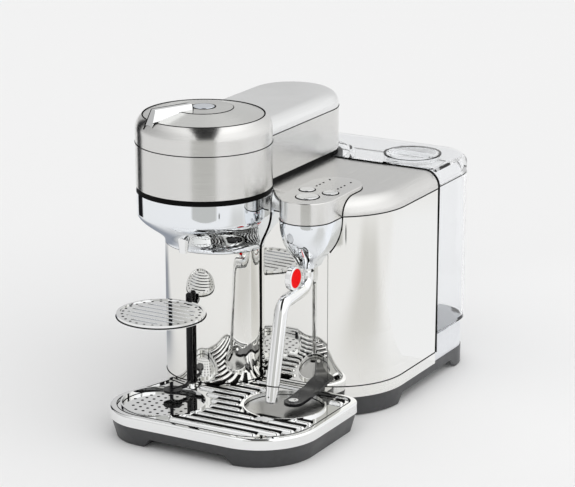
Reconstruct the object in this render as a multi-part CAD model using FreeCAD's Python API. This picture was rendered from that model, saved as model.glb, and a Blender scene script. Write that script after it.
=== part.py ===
import FreeCAD, Part
import math
import os

V = FreeCAD.Vector
UP = V(0, 0, 1)
os.makedirs("parts", exist_ok=True)

# Frame: origin under the middle of the machine on the worktop, X to the right,
# Y to the back, Z up, in millimetres.

# Overall plan
MACHINE_WIDTH = 231.3
TRAY_REACH = 154.0
BODY_DEPTH = 148.0
TANK_DEPTH = 94.0
FRONT_CORNER_RADIUS = 75.0

# Heights above the worktop
BAND_BOTTOM = 19.5
BAND_TOP = 31.0
WALL_TOP = 200.0
PLATE_TOP = 217.0
GASKET_HEIGHT = 4.8
GASKET_TAIL = 28.6
RING_HEIGHT = 41.8
DOME_HEIGHT = 26.0
ARM_COVER_HEIGHT = 15.2

# Clearances
SEAM_GAP = 0.6
TRIM_GAP = 0.4
LOOSE_GAP = 0.15
LID_GAP = 0.4
TRAY_GAP = 1.0
RUNNING_FIT = 0.06
TURNING_GAP = 0.5
ROTOR_GAP = 1.0

# How far a cutter runs past the face it opens
LAP = 1.0

# Brew head and arm
HEAD_RADIUS = 65.0
HEAD_FORWARD = 18.0
HEAD_WALL = 2.0
ARM_HALF_WIDTH = 47.7
ARM_OVERHANG = 2.6
ARM_ROUNDING = 13.0
DOME_STRAIGHT = 11.0
DOME_RIM_RADIUS = 58.1
DOME_BULGE = 1.6
LEDGE_RADIUS = 46.0
LEDGE_DROP = 4.2
FRAME_THICKNESS = 4.0
COLLAR_HEIGHT = 9.0
COLLAR_ABOVE_SEAM = 1.2
INJECTION_RADIUS = 44.0
INJECTION_NOSE_RADIUS = 30.8
INJECTION_DEPTH = 8.0

# Lid hinge
HINGE_SETBACK = 3.3
HINGE_HEIGHT = 2.0
HINGE_PIN_RADIUS = 2.4
KNUCKLE_RADIUS = 4.8
KNUCKLE_HALF_SPAN = 24.0
LUG_INNER = 9.0
LUG_WIDTH = 9.0
TOWER_RADIUS = 52.0
TOWER_WALL = 3.0

# Lock disc, lever and brew button
DISC_RISE = 6.0
DISC_EDGE = 3.4
DISC_SHELL = 3.0
HUB_RING_RADIUS = 28.0
HUB_RING_STEP = 0.9
BUTTON_RADIUS = 10.5
BUTTON_HEIGHT = 10.0
BUTTON_PROUD = 0.6
LEVER_ANGLE = 24.0
LEVER_INNER = 15.0
LEVER_OUTER = 64.0
LEVER_TOP_WIDTH = 7.0
LEVER_BASE_WIDTH = 13.0
LEVER_PROUD = 5.0
LEVER_DROP = 8.0
LEVER_LEAN = 7.5
BAYONET_RADIUS = 42.0
BAYONET_THICKNESS = 4.0
BAYONET_HUB_RADIUS = 18.0
BAYONET_LIFT = 14.0
BAYONET_LUG_WIDTH = 16.0
BAYONET_LUG_REACH = 5.0

# Column, bowl and brew chamber
COLUMN_RADIUS = 51.7
COLUMN_SETBACK = 7.5
BOWL_BOTTOM = 161.0
BOWL_STRAIGHT_FROM = 198.0
BOWL_STEPS = 8
BOWL_WALL = 2.5
BOWL_DECK = 4.0
CHAMBER_RADIUS = 50.0
CHAMBER_DEPTH = 25.0
WELL_RADIUS = 36.5
WELL_DEPTH = 35.0
LINER_WALL = 2.0
LINER_FLANGE = 9.0
CAGE_RADIUS = 46.0
CAGE_CUP_RADIUS = 34.0
CAGE_WALL = 2.5
CAGE_TOP_DROP = 8.0
CAGE_SLOTS = 12
CAGE_SLOT_WIDTH = 4.0
CAGE_SLOT_HEIGHT = 12.0
SHAFT_RADIUS = 5.0
SHAFT_BOTTOM = 92.0
ROTOR_RADIUS = 12.0
MOTOR_RADIUS = 21.0
MOTOR_BOTTOM = 98.0
MOTOR_TOP = 148.0
MOTOR_WALL = 4.0
BEARING_RADIUS = 11.0
BEARING_HEIGHT = 7.0
SPOUT_FORWARD = 39.0
SPOUT_RADIUS = 6.0
SPOUT_TIP_RADIUS = 4.0
SPOUT_BOTTOM = 164.0
SPOUT_BORE = 2.2

# Body walls
SHEET = 1.5
BAND_THICKNESS = 3.0
PANEL_SEAM_FROM_RIGHT = 45.65
PLATE_SHEET = 2.0
PLATE_ROLL = 16.0
PLATE_LEFT_ROLL = 4.0
LEFT_PANEL_SETBACK = 16.0
REAR_PANEL_THICKNESS = 2.0

# Base
BASE_INSET = 2.0
BASE_DECK = 4.0
BASE_WALL = 3.0
BASE_LIFT = 1.0
BASE_LEFT_RADIUS = 20.0
ARCH_START = 70.0
ARCH_END = 200.0
ARCH_HEIGHT = 10.0
ARCH_SLANT = 10.0
FOOT_RADIUS = 9.0
FOOT_INSET = 26.0
FOOT_FRONT = 42.0
SCREW_RADIUS = 3.6
SCREW_HEAD = 2.0
SCREW_SLOT = 1.0
SCREW_SLOT_DEPTH = 1.0
SCREW_SHARE = 0.5

# Control panel
NOSE_SHARE = 0.4077
NOSE_RADIUS = 26.2
NOSE_FORWARD = 8.3
PANEL_BACK = 45.0
PANEL_PROUD = 4.0
PANEL_WALL = 2.0
PANEL_EDGE = 0.8
START_BUTTON_RADIUS = 10.6
SIDE_BUTTON_RADIUS = 7.2
SIDE_BUTTON_BACK = 22.3
SIDE_BUTTON_SPREAD = 12.5
KEY_PROUD = 0.8
KEY_DEPTH = 6.0
KEY_FLANGE = 1.2
KEY_FLANGE_THICKNESS = 1.2
LIGHT_RADIUS = 0.9
LIGHT_HEIGHT = 0.3
LIGHT_SPREAD = 11.4
LIGHT_BACK = (38.8, 45.3, 52.3, 65.0)
BOARD_HALF_WIDTH = 17.0
BOARD_FRONT = 14.0
BOARD_LENGTH = 62.0
BOARD_THICKNESS = 1.6
BOARD_DROP = 10.0
BOARD_POST_RADIUS = 2.5
BOARD_POST_SHARES = (0.36, 0.94)

# Steam funnel and wand
FUNNEL_PROFILE = ((0.0, 26.2), (12.0, 25.5), (22.0, 23.0), (32.0, 18.0), (40.0, 12.0), (47.0, 8.4))
FUNNEL_WALL = 2.0
WAND_RADIUS = 6.5
WAND_BORE = 3.0
WAND_NECK_RADIUS = 3.8
WAND_BALL_RADIUS = 6.6
WAND_PIVOT_LIFT = 5.0
WAND_PIN_RADIUS = 2.0
WAND_PIN_HALF = 9.0
WAND_COLLAR_DROP = 9.0
WAND_RUN_DROP = 24.5
WAND_ELBOW_FORWARD = 48.7
WAND_ELBOW_DROP = 28.0
WAND_TIP_FORWARD = 69.7
WAND_TIP_DROP = 119.5
WAND_BEND = 13.0
WAND_TIP_LENGTH = 17.0
WAND_TIP_RADIUS = 6.0
WAND_GROOVE = 0.8
WAND_GROOVE_WIDTH = 1.2
WAND_HOLE_RADIUS = 0.8
WAND_HOLES = 4
TAB_RADIUS = 11.5
TAB_THICKNESS = 6.0
TAB_RIM = 2.2
TAB_FORWARD = 26.7
TAB_DROP = 9.0
INSERT_THICKNESS = 5.0

# Milk temperature sensor
SENSOR_FROM_RIGHT = 48.85
SENSOR_HALF_WIDTH = 9.0
SENSOR_REACH = 54.7
SENSOR_THICKNESS = 3.0
SENSOR_TOP = 35.2
SENSOR_WAVE = (
    (-14.0, 5.6), (2.0, 5.6), (10.0, 4.2), (18.0, 1.9), (27.0, 1.7), (36.0, 0.6), (45.0, 0.0), (66.0, 0.0),
)
SENSOR_BUTTON_RADIUS = 4.6
SENSOR_BUTTON_HEIGHT = 1.2

# Drip tray
TRAY_SIDE_INSET = 1.75
TRAY_RIGHT_FRONT_RADIUS = 61.0
TRAY_RIGHT_REAR_RADIUS = 18.0
TRAY_LEFT_RADIUS = 46.0
TRAY_LEFT_FLARE = 6.75
TRAY_LEFT_TUCK = 16.95
TRAY_REAR_GAP = 2.0
TRAY_LIFT = 0.4
TRAY_BOTTOM_INSET = 6.0
TRAY_TOP_INSET = 0.8
TRAY_FLOOR = 12.0
TRAY_WALL = 3.0
TRAY_ARCH_FROM_LEFT = 68.1
TRAY_ARCH_FROM_RIGHT = 58.9
TRAY_ARCH_HEIGHT = 9.5
TRAY_ARCH_SLANT = 8.0
RIM_TOP = 30.0
RIM_WIDTH = 6.5
RIM_LEDGE = 3.0
RIM_ROUND = 2.5
DECK_BOTTOM = 26.5
DECK_THICKNESS = 2.0
RIB_PITCH = 12.5
RIB_RADIUS = 3.4
RIB_TOP = 31.0
RIB_MARGIN = 3.0
RIB_MIN_LENGTH = 3.0
SLOT_WIDTH = 3.0
DISH_LEFT_MARGIN = 22.6
DISH_FRONT_MARGIN = 12.5
DISH_POST_GAP = 14.1
JUG_FROM_RIGHT = 58.15
JUG_FORWARD = 55.5
JUG_RADIUS = 38.0
DISH_RING = 1.5
DISH_RING_TOP = 30.6
DISH_LEDGE = 3.0
DISH_SEAT = 24.5
DISH_PLATE = 2.0
DISH_HOLE_RADIUS = 1.2
DISH_HOLE_PITCH = 8.0
DRAIN_RADIUS = 4.0
DRAIN_SPREAD = 12.0

# Cup support
POST_GAP = 1.0
POST_RADIUS = 3.2
POST_TOP = 122.0
POST_CROWN = 2.8
POST_PIN_RADIUS = 2.0
POST_PIN_DEPTH = 6.0
POST_BOSS_RADIUS = 5.0
POST_BOSS_TOP = 31.2
POST_BRACKET_HALF = 5.0
POST_BRACKET_HEIGHT = 4.0
POST_BRACKET_LAP = 7.0
FOOT_ARM_RADIUS = 2.0
FOOT_ARM_HEIGHT = 33.6
FOOT_ARM_SWAY = 5.0
FOOT_PAD_REACH = 31.8
FOOT_PAD_RADIUS = 9.0
FOOT_PAD_THICKNESS = 2.4
CUP_DISC_LAP = 2.5
CUP_DISC_GAP = 8.1
CUP_DISC_BOTTOM = 112.5
CUP_DISC_THICKNESS = 3.2
CUP_RIM_WIDTH = 2.5
CUP_RIM_PROUD = 0.9
CUP_SLOT_PITCH = 9.5
CUP_SLOT_WIDTH = 3.2
CUP_SLOT_MARGIN = 10.0
CUP_HOLE_RADIUS = 1.3
CUP_HOLE_COUNT = 28
CUP_HOLE_INSET = 5.5

# Water tank
TANK_BOTTOM = 49.0
TANK_LID_BOTTOM = 200.6
TANK_LID_TOP = 219.0
TANK_LID_ROLL = 9.0
TANK_WALL = 2.5
TANK_CORNER_RADIUS = 38.0
TANK_FRONT_RADIUS = 4.0
TANK_NOTCH_RADIUS = 59.0
TANK_LID_STEP = 6.0
CAP_FROM_RIGHT = 50.95
CAP_FROM_REAR = 49.5
CAP_RADIUS = 29.0
CAP_PROUD = 1.2
CAP_FLANGE = 2.5
CAP_PLUG = 8.0
CAP_GRIP_WIDTH = 8.0
CAP_GRIP_HEIGHT = 5.0
DOCK_INSET = 3.0
DOCK_WALL = 3.0
INLET_FROM_RIGHT = 75.65
INLET_Z = 62.0
INLET_RADIUS = 5.0
INLET_REACH = 8.0
INLET_BORE = 2.5
GLAND_FROM_LEFT = 48.0
GLAND_Z = 34.0
GLAND_RADIUS = 7.0
GLAND_BORE = 3.5

# Pieces inside the body
PUMP_RADIUS = 20.0
PUMP_AHEAD = 50.0
PUMP_LENGTH = 78.0
PUMP_NOSE_RADIUS = 9.0
PUMP_NOSE_LENGTH = 14.0
PUMP_SADDLE = 5.0
PUMP_SADDLE_HALF = 16.0
HEATER_FROM_LEFT = 50.35
HEATER_BEHIND = 18.0
HEATER_WIDTH = 58.0
HEATER_DEPTH = 50.0
HEATER_HEIGHT = 70.0
HEATER_FIN_PITCH = 10.0
HEATER_FIN_GAP = 4.0
HEATER_FIN_DEPTH = 6.0
BOILER_FROM_RIGHT = 43.65
BOILER_BEHIND = 4.0
BOILER_RADIUS = 28.0
BOILER_HEIGHT = 104.0
BOILER_DOME = 8.0
PIPE_RADIUS = 3.0
PIPE_BEND = 9.0
STEAM_PIPE_HEIGHT = 178.0
STEAM_PIPE_RUN = 24.7

# Places and levels that follow from the sizes above
RIGHT_X = MACHINE_WIDTH / 2
FRONT_Y = -(TRAY_REACH + BODY_DEPTH + TANK_DEPTH) / 2
WALL_Y = FRONT_Y + TRAY_REACH
SEAM_Y = WALL_Y + BODY_DEPTH
REAR_Y = SEAM_Y + TANK_DEPTH
HEAD_X = -MACHINE_WIDTH / 2 + HEAD_RADIUS
HEAD_Y = WALL_Y - HEAD_FORWARD
COLUMN_Y = WALL_Y + COLUMN_SETBACK
LEFT_X = HEAD_X - COLUMN_RADIUS
ARM_END_Y = SEAM_Y + ARM_OVERHANG
HEAD_RIGHT_X = HEAD_X + HEAD_RADIUS
NOSE_X = HEAD_RIGHT_X + (RIGHT_X - HEAD_RIGHT_X) * NOSE_SHARE
NOSE_Y = WALL_Y - NOSE_FORWARD
PANEL_REAR_Y = WALL_Y + PANEL_BACK
PANEL_TOP = PLATE_TOP + PANEL_PROUD
REAR_FACE_Y = SEAM_Y + REAR_PANEL_THICKNESS
GASKET_TOP = PLATE_TOP + GASKET_HEIGHT
LID_BOTTOM = GASKET_TOP + LID_GAP
RING_TOP = LID_BOTTOM + RING_HEIGHT
DOME_BOTTOM = RING_TOP + SEAM_GAP
DOME_TOP = DOME_BOTTOM + DOME_HEIGHT
ARM_TOP = DOME_BOTTOM + ARM_COVER_HEIGHT
LEDGE_TOP = DOME_TOP - LEDGE_DROP
DISC_BOTTOM = LEDGE_TOP + LID_GAP
DISC_RIM = DISC_BOTTOM + DISC_EDGE
DISC_RADIUS = DOME_RIM_RADIUS - SEAM_GAP
DISC_TOP = DISC_RIM + DISC_RISE + HUB_RING_STEP
HINGE_Y = ARM_END_Y + ARM_HALF_WIDTH - HINGE_SETBACK
HINGE_Z = PLATE_TOP + HINGE_HEIGHT
DECK_TOP = DECK_BOTTOM + DECK_THICKNESS
SENSOR_X = RIGHT_X - SENSOR_FROM_RIGHT
TRAY_RIGHT = RIGHT_X - TRAY_SIDE_INSET
TRAY_LEFT_FRONT_X = LEFT_X - TRAY_LEFT_FLARE
TRAY_LEFT_REAR_X = HEAD_X - TRAY_LEFT_TUCK
POST_Y = COLUMN_Y - COLUMN_RADIUS - POST_GAP - POST_RADIUS
DISH_RADIUS = (POST_Y - FRONT_Y - DISH_FRONT_MARGIN - DISH_POST_GAP) / 2
DISH_X = TRAY_LEFT_FRONT_X + DISH_LEFT_MARGIN + DISH_RADIUS
DISH_Y = FRONT_Y + DISH_FRONT_MARGIN + DISH_RADIUS
JUG_X = RIGHT_X - JUG_FROM_RIGHT
JUG_Y = WALL_Y - JUG_FORWARD
CUP_DISC_RADIUS = DISH_RADIUS + CUP_DISC_LAP
CUP_DISC_Y = POST_Y - CUP_DISC_GAP - CUP_DISC_RADIUS
CAP_X = RIGHT_X - CAP_FROM_RIGHT
CAP_Y = REAR_Y - CAP_FROM_REAR
INLET_X = RIGHT_X - INLET_FROM_RIGHT
GLAND_X = LEFT_X + GLAND_FROM_LEFT
BODY_MIDDLE_Y = (WALL_Y + SEAM_Y) / 2
HEATER_X = LEFT_X + HEATER_FROM_LEFT
HEATER_Y = BODY_MIDDLE_Y + HEATER_BEHIND
BOILER_X = RIGHT_X - BOILER_FROM_RIGHT
BOILER_Y = BODY_MIDDLE_Y + BOILER_BEHIND
PUMP_X = (HEATER_X + HEATER_WIDTH / 2 + BOILER_X - BOILER_RADIUS) / 2
PUMP_FRONT_Y = BODY_MIDDLE_Y - PUMP_AHEAD
BAYONET_BOTTOM = LID_BOTTOM + FRAME_THICKNESS + BAYONET_LIFT
WAND_PIVOT_Z = WALL_TOP - FUNNEL_PROFILE[-1][0] + WAND_PIVOT_LIFT
HEAD_AXIS = V(HEAD_X, HEAD_Y, 0)
NOSE_AXIS = V(NOSE_X, NOSE_Y, 0)


# Helpers
def at(point, z):
    """Return the point moved to the height z."""
    return V(point.x, point.y, z)


def cylinder(centre, radius, bottom, top):
    """Return an upright cylinder between two heights."""
    return Part.makeCylinder(radius, top - bottom, at(centre, bottom))


def tube(centre, outer, inner, bottom, top):
    """Return an upright ring between two heights."""
    return cylinder(centre, outer, bottom, top).cut(cylinder(centre, inner, bottom - LAP, top + LAP))


def cross_rod(radius, x_from, x_to, y, z):
    """Return a rod that lies along X."""
    return Part.makeCylinder(radius, x_to - x_from, V(x_from, y, z), V(1, 0, 0))


def block(x_from, x_to, y_from, y_to, z_from, z_to):
    """Return a box between two corners."""
    return Part.makeBox(x_to - x_from, y_to - y_from, z_to - z_from, V(x_from, y_from, z_from))


def fuse_all(shapes):
    """Return the shapes joined into one clean solid."""
    return shapes[0].multiFuse(shapes[1:]).removeSplitter()


def revolve(profile, centre):
    """Return the solid made by turning (radius, height) points about an upright axis."""
    points = [V(centre.x + radius, centre.y, height) for radius, height in profile]
    face = Part.Face(Part.makePolygon(points + points[:1]))
    return face.revolve(centre, UP, 360)


def rounded_outline(corners):
    """Return a closed wire through (x, y, radius) corners with each corner rounded."""
    edges = []
    starts, ends, middles = [], [], []
    count = len(corners)
    for index, (x, y, radius) in enumerate(corners):
        corner = V(x, y, 0)
        before = V(*corners[index - 1][:2], 0) - corner
        after = V(*corners[(index + 1) % count][:2], 0) - corner
        before.normalize()
        after.normalize()
        half = before.getAngle(after) / 2
        reach = radius / math.tan(half)
        bisector = (before + after).normalize()
        starts.append(corner + before * reach)
        ends.append(corner + after * reach)
        middles.append(corner + bisector * (radius / math.sin(half) - radius))
    for index in range(count):
        if corners[index][2] > 0:
            edges.append(Part.Arc(starts[index], middles[index], ends[index]).toShape())
        following = starts[(index + 1) % count]
        if (following - ends[index]).Length > 1e-6:
            edges.append(Part.makeLine(ends[index], following))
    return Part.Wire(edges)


def stadium(x, half_width, front_y, rear_y):
    """Return a stadium wire whose end circles sit at front_y and rear_y."""
    reach = half_width
    return rounded_outline([
        (x - half_width, front_y - reach, reach),
        (x + half_width, front_y - reach, reach),
        (x + half_width, rear_y + reach, reach),
        (x - half_width, rear_y + reach, reach),
    ])


def prism(wire, bottom, top):
    """Return the flat outline extruded between two heights."""
    return Part.Face(wire.translated(V(0, 0, bottom))).extrude(V(0, 0, top - bottom))


def inset(wire, distance):
    """Return the outline moved inwards by a distance."""
    return wire.makeOffset2D(-distance)


def edges_at(shape, height):
    """Return the edges of a shape that lie flat at one height."""
    flat = []
    for edge in shape.Edges:
        box = edge.BoundBox
        if abs(box.ZMin - height) < 1e-4 and abs(box.ZMax - height) < 1e-4:
            flat.append(edge)
    return flat


def pipe(points, bend, radius):
    """Return a round rod along straight runs joined by bends."""
    edges = []
    start = points[0]
    for before, corner, after in zip(points, points[1:], points[2:]):
        back = (before - corner).normalize()
        ahead = (after - corner).normalize()
        half = back.getAngle(ahead) / 2
        reach = bend / math.tan(half)
        bisector = (back + ahead).normalize()
        enter = corner + back * reach
        leave = corner + ahead * reach
        middle = corner + bisector * (bend / math.sin(half) - bend)
        edges.append(Part.makeLine(start, enter))
        edges.append(Part.Arc(enter, middle, leave).toShape())
        start = leave
    edges.append(Part.makeLine(start, points[-1]))
    profile = Part.Wire(Part.makeCircle(radius, points[0], points[1] - points[0]))
    return Part.Wire(edges).makePipeShell([profile], True, False)


def slanted_arch(low, high, height, slant, along_x, reach):
    """Return a long cutter with slanted ends that opens an arch from the floor."""
    points = [
        (low, -LAP), (low, 0.0), (low + slant, height), (high - slant, height), (high, 0.0), (high, -LAP),
    ]
    if along_x:
        corners = [V(place, -reach, rise) for place, rise in points]
        way = V(0, 2 * reach, 0)
    else:
        corners = [V(-reach, place, rise) for place, rise in points]
        way = V(2 * reach, 0, 0)
    return Part.Face(Part.makePolygon(corners + corners[:1])).extrude(way)


def column_reach():
    """Return how far the column reaches to each side of its axis in the plane of the front wall."""
    return math.sqrt(COLUMN_RADIUS ** 2 - COLUMN_SETBACK ** 2)


# Bodywork
def body_outline():
    """Return the plan of the walls: left side, column, front wall and right side."""
    junction = V(HEAD_X + column_reach(), WALL_Y, 0)
    column_front = V(HEAD_X, COLUMN_Y - COLUMN_RADIUS, 0)
    turn = V(RIGHT_X - FRONT_CORNER_RADIUS, WALL_Y, 0)
    side = V(RIGHT_X, WALL_Y + FRONT_CORNER_RADIUS, 0)
    corner = V(turn.x, side.y, 0) + V(1, -1, 0).normalize() * FRONT_CORNER_RADIUS
    left_back = V(LEFT_X, SEAM_Y, 0)
    right_back = V(RIGHT_X, SEAM_Y, 0)
    left_front = V(LEFT_X, COLUMN_Y, 0)
    return Part.Wire([
        Part.makeLine(left_back, left_front),
        Part.Arc(left_front, column_front, junction).toShape(),
        Part.makeLine(junction, turn),
        Part.Arc(turn, corner, side).toShape(),
        Part.makeLine(side, right_back),
        Part.makeLine(right_back, left_back),
    ])


def wall_ring(thickness, bottom, top):
    """Return the walls of the body as one ring, open at the back."""
    outer = body_outline()
    ring = prism(outer, bottom, top).cut(prism(inset(outer, thickness), bottom - LAP, top + LAP))
    return ring.cut(block(LEFT_X + thickness, RIGHT_X - thickness, SEAM_Y - thickness - LAP, SEAM_Y + LAP,
                          bottom - LAP, top + LAP))


def bowl_solid(grow, bottom, top):
    """Return the outside of the bowl, grown by a distance, between two heights."""
    sections = []
    for step in range(BOWL_STEPS + 1):
        share = step / BOWL_STEPS
        height = bottom + share * (BOWL_STRAIGHT_FROM - bottom)
        blend = share * share * (3 - 2 * share)
        centre = V(HEAD_X, COLUMN_Y + (HEAD_Y - COLUMN_Y) * blend, height)
        radius = COLUMN_RADIUS + (HEAD_RADIUS - COLUMN_RADIUS) * blend + grow
        sections.append(Part.Wire(Part.makeCircle(radius, centre, UP)))
    cone = Part.makeLoft(sections, True, False)
    return cone.fuse(cylinder(HEAD_AXIS, HEAD_RADIUS + grow, BOWL_STRAIGHT_FROM, top)).removeSplitter()


def bowl_room():
    """Return the space the bowl takes up, with trim clearance, for cutting its neighbours."""
    return bowl_solid(TRIM_GAP, BOWL_BOTTOM, PLATE_TOP + LAP)


def column_shell():
    """Return the polished column below the bowl."""
    ring = wall_ring(SHEET, BAND_TOP, BOWL_BOTTOM - TRIM_GAP)
    right = HEAD_X + column_reach() - TRIM_GAP
    return ring.common(block(LEFT_X - LAP, right, COLUMN_Y - COLUMN_RADIUS - LAP,
                             WALL_Y + LEFT_PANEL_SETBACK, 0, PLATE_TOP))


def front_panel(room):
    """Return the polished wall between the column and the right corner."""
    ring = wall_ring(SHEET, BAND_TOP, WALL_TOP)
    left = HEAD_X + column_reach() + TRIM_GAP
    seam = RIGHT_X - PANEL_SEAM_FROM_RIGHT - TRIM_GAP / 2
    panel = ring.common(block(left, seam, WALL_Y - LAP, WALL_Y + FRONT_CORNER_RADIUS / 2, 0, WALL_TOP))
    return panel.cut(room)


def body_shell():
    """Return the right-hand corner and side wall."""
    seam = RIGHT_X - PANEL_SEAM_FROM_RIGHT + TRIM_GAP / 2
    return wall_ring(SHEET, BAND_TOP, WALL_TOP).common(
        block(seam, RIGHT_X + LAP, WALL_Y - LAP, SEAM_Y, 0, WALL_TOP))


def left_panel(room):
    """Return the left-hand wall behind the column."""
    ring = wall_ring(SHEET, BAND_TOP, WALL_TOP)
    front = WALL_Y + LEFT_PANEL_SETBACK + TRIM_GAP
    return ring.common(block(LEFT_X - LAP, LEFT_X + BAND_THICKNESS, front, SEAM_Y, 0, WALL_TOP)).cut(room)


def base_trim():
    """Return the polished band round the foot of the body."""
    return wall_ring(BAND_THICKNESS, BAND_BOTTOM, BAND_TOP)


def plate_block(shrink, bottom):
    """Return the top plate as a block with rolled edges, shrunk by a sheet thickness."""
    top = PLATE_TOP - shrink
    outline = rounded_outline([
        (LEFT_X + shrink, WALL_Y + shrink, 0),
        (RIGHT_X - shrink, WALL_Y + shrink, FRONT_CORNER_RADIUS - shrink),
        (RIGHT_X - shrink, SEAM_Y + shrink, 0),
        (LEFT_X + shrink, SEAM_Y + shrink, 0),
    ])
    solid = prism(outline, bottom, top)
    rolled = []
    for edge in edges_at(solid, top):
        box = edge.BoundBox
        if box.YMin < SEAM_Y - LAP and box.XMax > LEFT_X + shrink + LAP:
            rolled.append(edge)
    solid = solid.makeFillet(PLATE_ROLL - shrink, rolled)
    left = [edge for edge in edges_at(solid, top) if edge.BoundBox.XMax < LEFT_X + shrink + LAP]
    return solid.makeFillet(PLATE_LEFT_ROLL - shrink, left)


def panel_outline(grow):
    """Return the outline of the control panel, grown by a distance."""
    return stadium(NOSE_X, NOSE_RADIUS + grow, NOSE_Y, PANEL_REAR_Y)


def top_plate(room):
    """Return the brushed top plate with its openings for the bowl and the panel."""
    plate = plate_block(0.0, WALL_TOP).cut(plate_block(PLATE_SHEET, WALL_TOP - LAP))
    plate = plate.common(block(LEFT_X - LAP, RIGHT_X + LAP, WALL_Y - LAP, SEAM_Y,
                               WALL_TOP, PLATE_TOP + LAP))
    return plate.cut(room).cut(prism(panel_outline(TRIM_GAP), WALL_TOP - LAP, PLATE_TOP + LAP))


def rear_panel():
    """Return the dark panel that closes the back of the body."""
    section = plate_block(0.0, BAND_TOP).common(
        block(LEFT_X - LAP, RIGHT_X + LAP, SEAM_Y - 2 * LAP, SEAM_Y - LAP, 0, PLATE_TOP + LAP))
    face = min(section.Faces, key=lambda item: item.CenterOfMass.y)
    slab = face.extrude(V(0, REAR_PANEL_THICKNESS, 0))
    return slab.translated(V(0, SEAM_Y - face.CenterOfMass.y, 0))


def base_outline(shrink):
    """Return the plan of the dark base under the body and the tank, shrunk by a distance."""
    step = BASE_INSET + shrink
    left = LEFT_X + step
    right = RIGHT_X - step
    front = WALL_Y + step
    rear = REAR_Y - DOCK_INSET - shrink
    return rounded_outline([
        (left, front, BASE_LEFT_RADIUS - shrink), (right, front, FRONT_CORNER_RADIUS - step),
        (right, rear, TANK_CORNER_RADIUS - step), (left, rear, TANK_CORNER_RADIUS - step),
    ])


def base_solid(shrink, bottom, top):
    """Return the base as a block, with the round part under the column."""
    round_part = cylinder(V(HEAD_X, COLUMN_Y, 0), COLUMN_RADIUS - BASE_INSET - shrink, bottom, top)
    return prism(base_outline(shrink), bottom, top).fuse(round_part).removeSplitter()


def base_pan():
    """Return the base: a deck for the inner pieces and a skirt with arched sides."""
    pan = base_solid(0.0, BASE_LIFT, BAND_BOTTOM)
    pan = pan.cut(base_solid(BASE_WALL, 0, BAND_BOTTOM - BASE_DECK))
    arch = slanted_arch(WALL_Y + ARCH_START, WALL_Y + ARCH_END, ARCH_HEIGHT, ARCH_SLANT, False,
                        MACHINE_WIDTH)
    return pan.cut(arch)


def foot_places():
    """Return the centres of the four feet."""
    left = LEFT_X + FOOT_INSET
    right = RIGHT_X - FOOT_INSET
    front = WALL_Y + FOOT_FRONT
    rear = REAR_Y - DOCK_INSET - FOOT_INSET
    return [V(x, y, 0) for x in (left, right) for y in (front, rear)]


def rubber_feet():
    """Return the four feet as one group."""
    top = BAND_BOTTOM - BASE_DECK
    return Part.makeCompound([cylinder(place, FOOT_RADIUS, 0, top) for place in foot_places()])


def body_screws():
    """Return the slotted screw heads under the base, beside the feet."""
    screws = []
    top = BAND_BOTTOM - BASE_DECK
    for place in foot_places():
        centre = V(place.x * SCREW_SHARE, place.y, 0)
        head = cylinder(centre, SCREW_RADIUS, top - SCREW_HEAD, top)
        slot = block(centre.x - SCREW_RADIUS, centre.x + SCREW_RADIUS, centre.y - SCREW_SLOT / 2,
                     centre.y + SCREW_SLOT / 2, top - SCREW_HEAD, top - SCREW_HEAD + SCREW_SLOT_DEPTH)
        screws.append(head.cut(slot))
    return Part.makeCompound(screws)


# Bowl and brew chamber
def bowl_shell():
    """Return the polished bowl with the deck that carries the chamber."""
    inner_top = PLATE_TOP - BOWL_DECK
    bowl = bowl_solid(0.0, BOWL_BOTTOM, PLATE_TOP)
    bowl = bowl.cut(bowl_solid(-BOWL_WALL, BOWL_BOTTOM - LAP, inner_top))
    return bowl.cut(cylinder(HEAD_AXIS, CHAMBER_RADIUS + LINER_WALL, inner_top - LAP, PLATE_TOP + LAP))


def brew_liner():
    """Return the stepped cup that hangs in the bowl round the capsule cage."""
    top = PLATE_TOP
    under_deck = PLATE_TOP - BOWL_DECK
    step = top - CHAMBER_DEPTH
    floor = top - WELL_DEPTH
    chamber = CHAMBER_RADIUS
    well = WELL_RADIUS
    wall = LINER_WALL
    fit = chamber + wall - LOOSE_GAP
    bore = BEARING_RADIUS + LOOSE_GAP
    return revolve([
        (chamber, top), (fit, top), (fit, under_deck), (chamber + LINER_FLANGE, under_deck),
        (chamber + LINER_FLANGE, under_deck - wall), (chamber + wall, under_deck - wall),
        (chamber + wall, step - wall), (well + wall, step - wall), (well + wall, floor - wall),
        (bore, floor - wall), (bore, floor), (well, floor), (well, step), (chamber, step),
    ], HEAD_AXIS)


def capsule_cage():
    """Return the spinning cup that holds a capsule by its rim."""
    top = PLATE_TOP - CAGE_TOP_DROP
    bottom = PLATE_TOP - WELL_DEPTH + TURNING_GAP + BEARING_HEIGHT / 2
    wall = CAGE_WALL
    cup = CAGE_CUP_RADIUS
    cage = revolve([
        (SHAFT_RADIUS, bottom), (cup, bottom), (cup, top - wall), (CAGE_RADIUS, top - wall),
        (CAGE_RADIUS, top), (cup - wall, top), (cup - wall, bottom + wall), (SHAFT_RADIUS, bottom + wall),
    ], HEAD_AXIS)
    slots = []
    for index in range(CAGE_SLOTS):
        slot = block(HEAD_X + cup - 2 * wall, HEAD_X + cup + wall, HEAD_Y - CAGE_SLOT_WIDTH / 2,
                     HEAD_Y + CAGE_SLOT_WIDTH / 2, bottom + 2 * wall, bottom + 2 * wall + CAGE_SLOT_HEIGHT)
        slot.rotate(HEAD_AXIS, UP, index * 360 / CAGE_SLOTS)
        slots.append(slot)
    return cage.cut(Part.makeCompound(slots))


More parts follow.
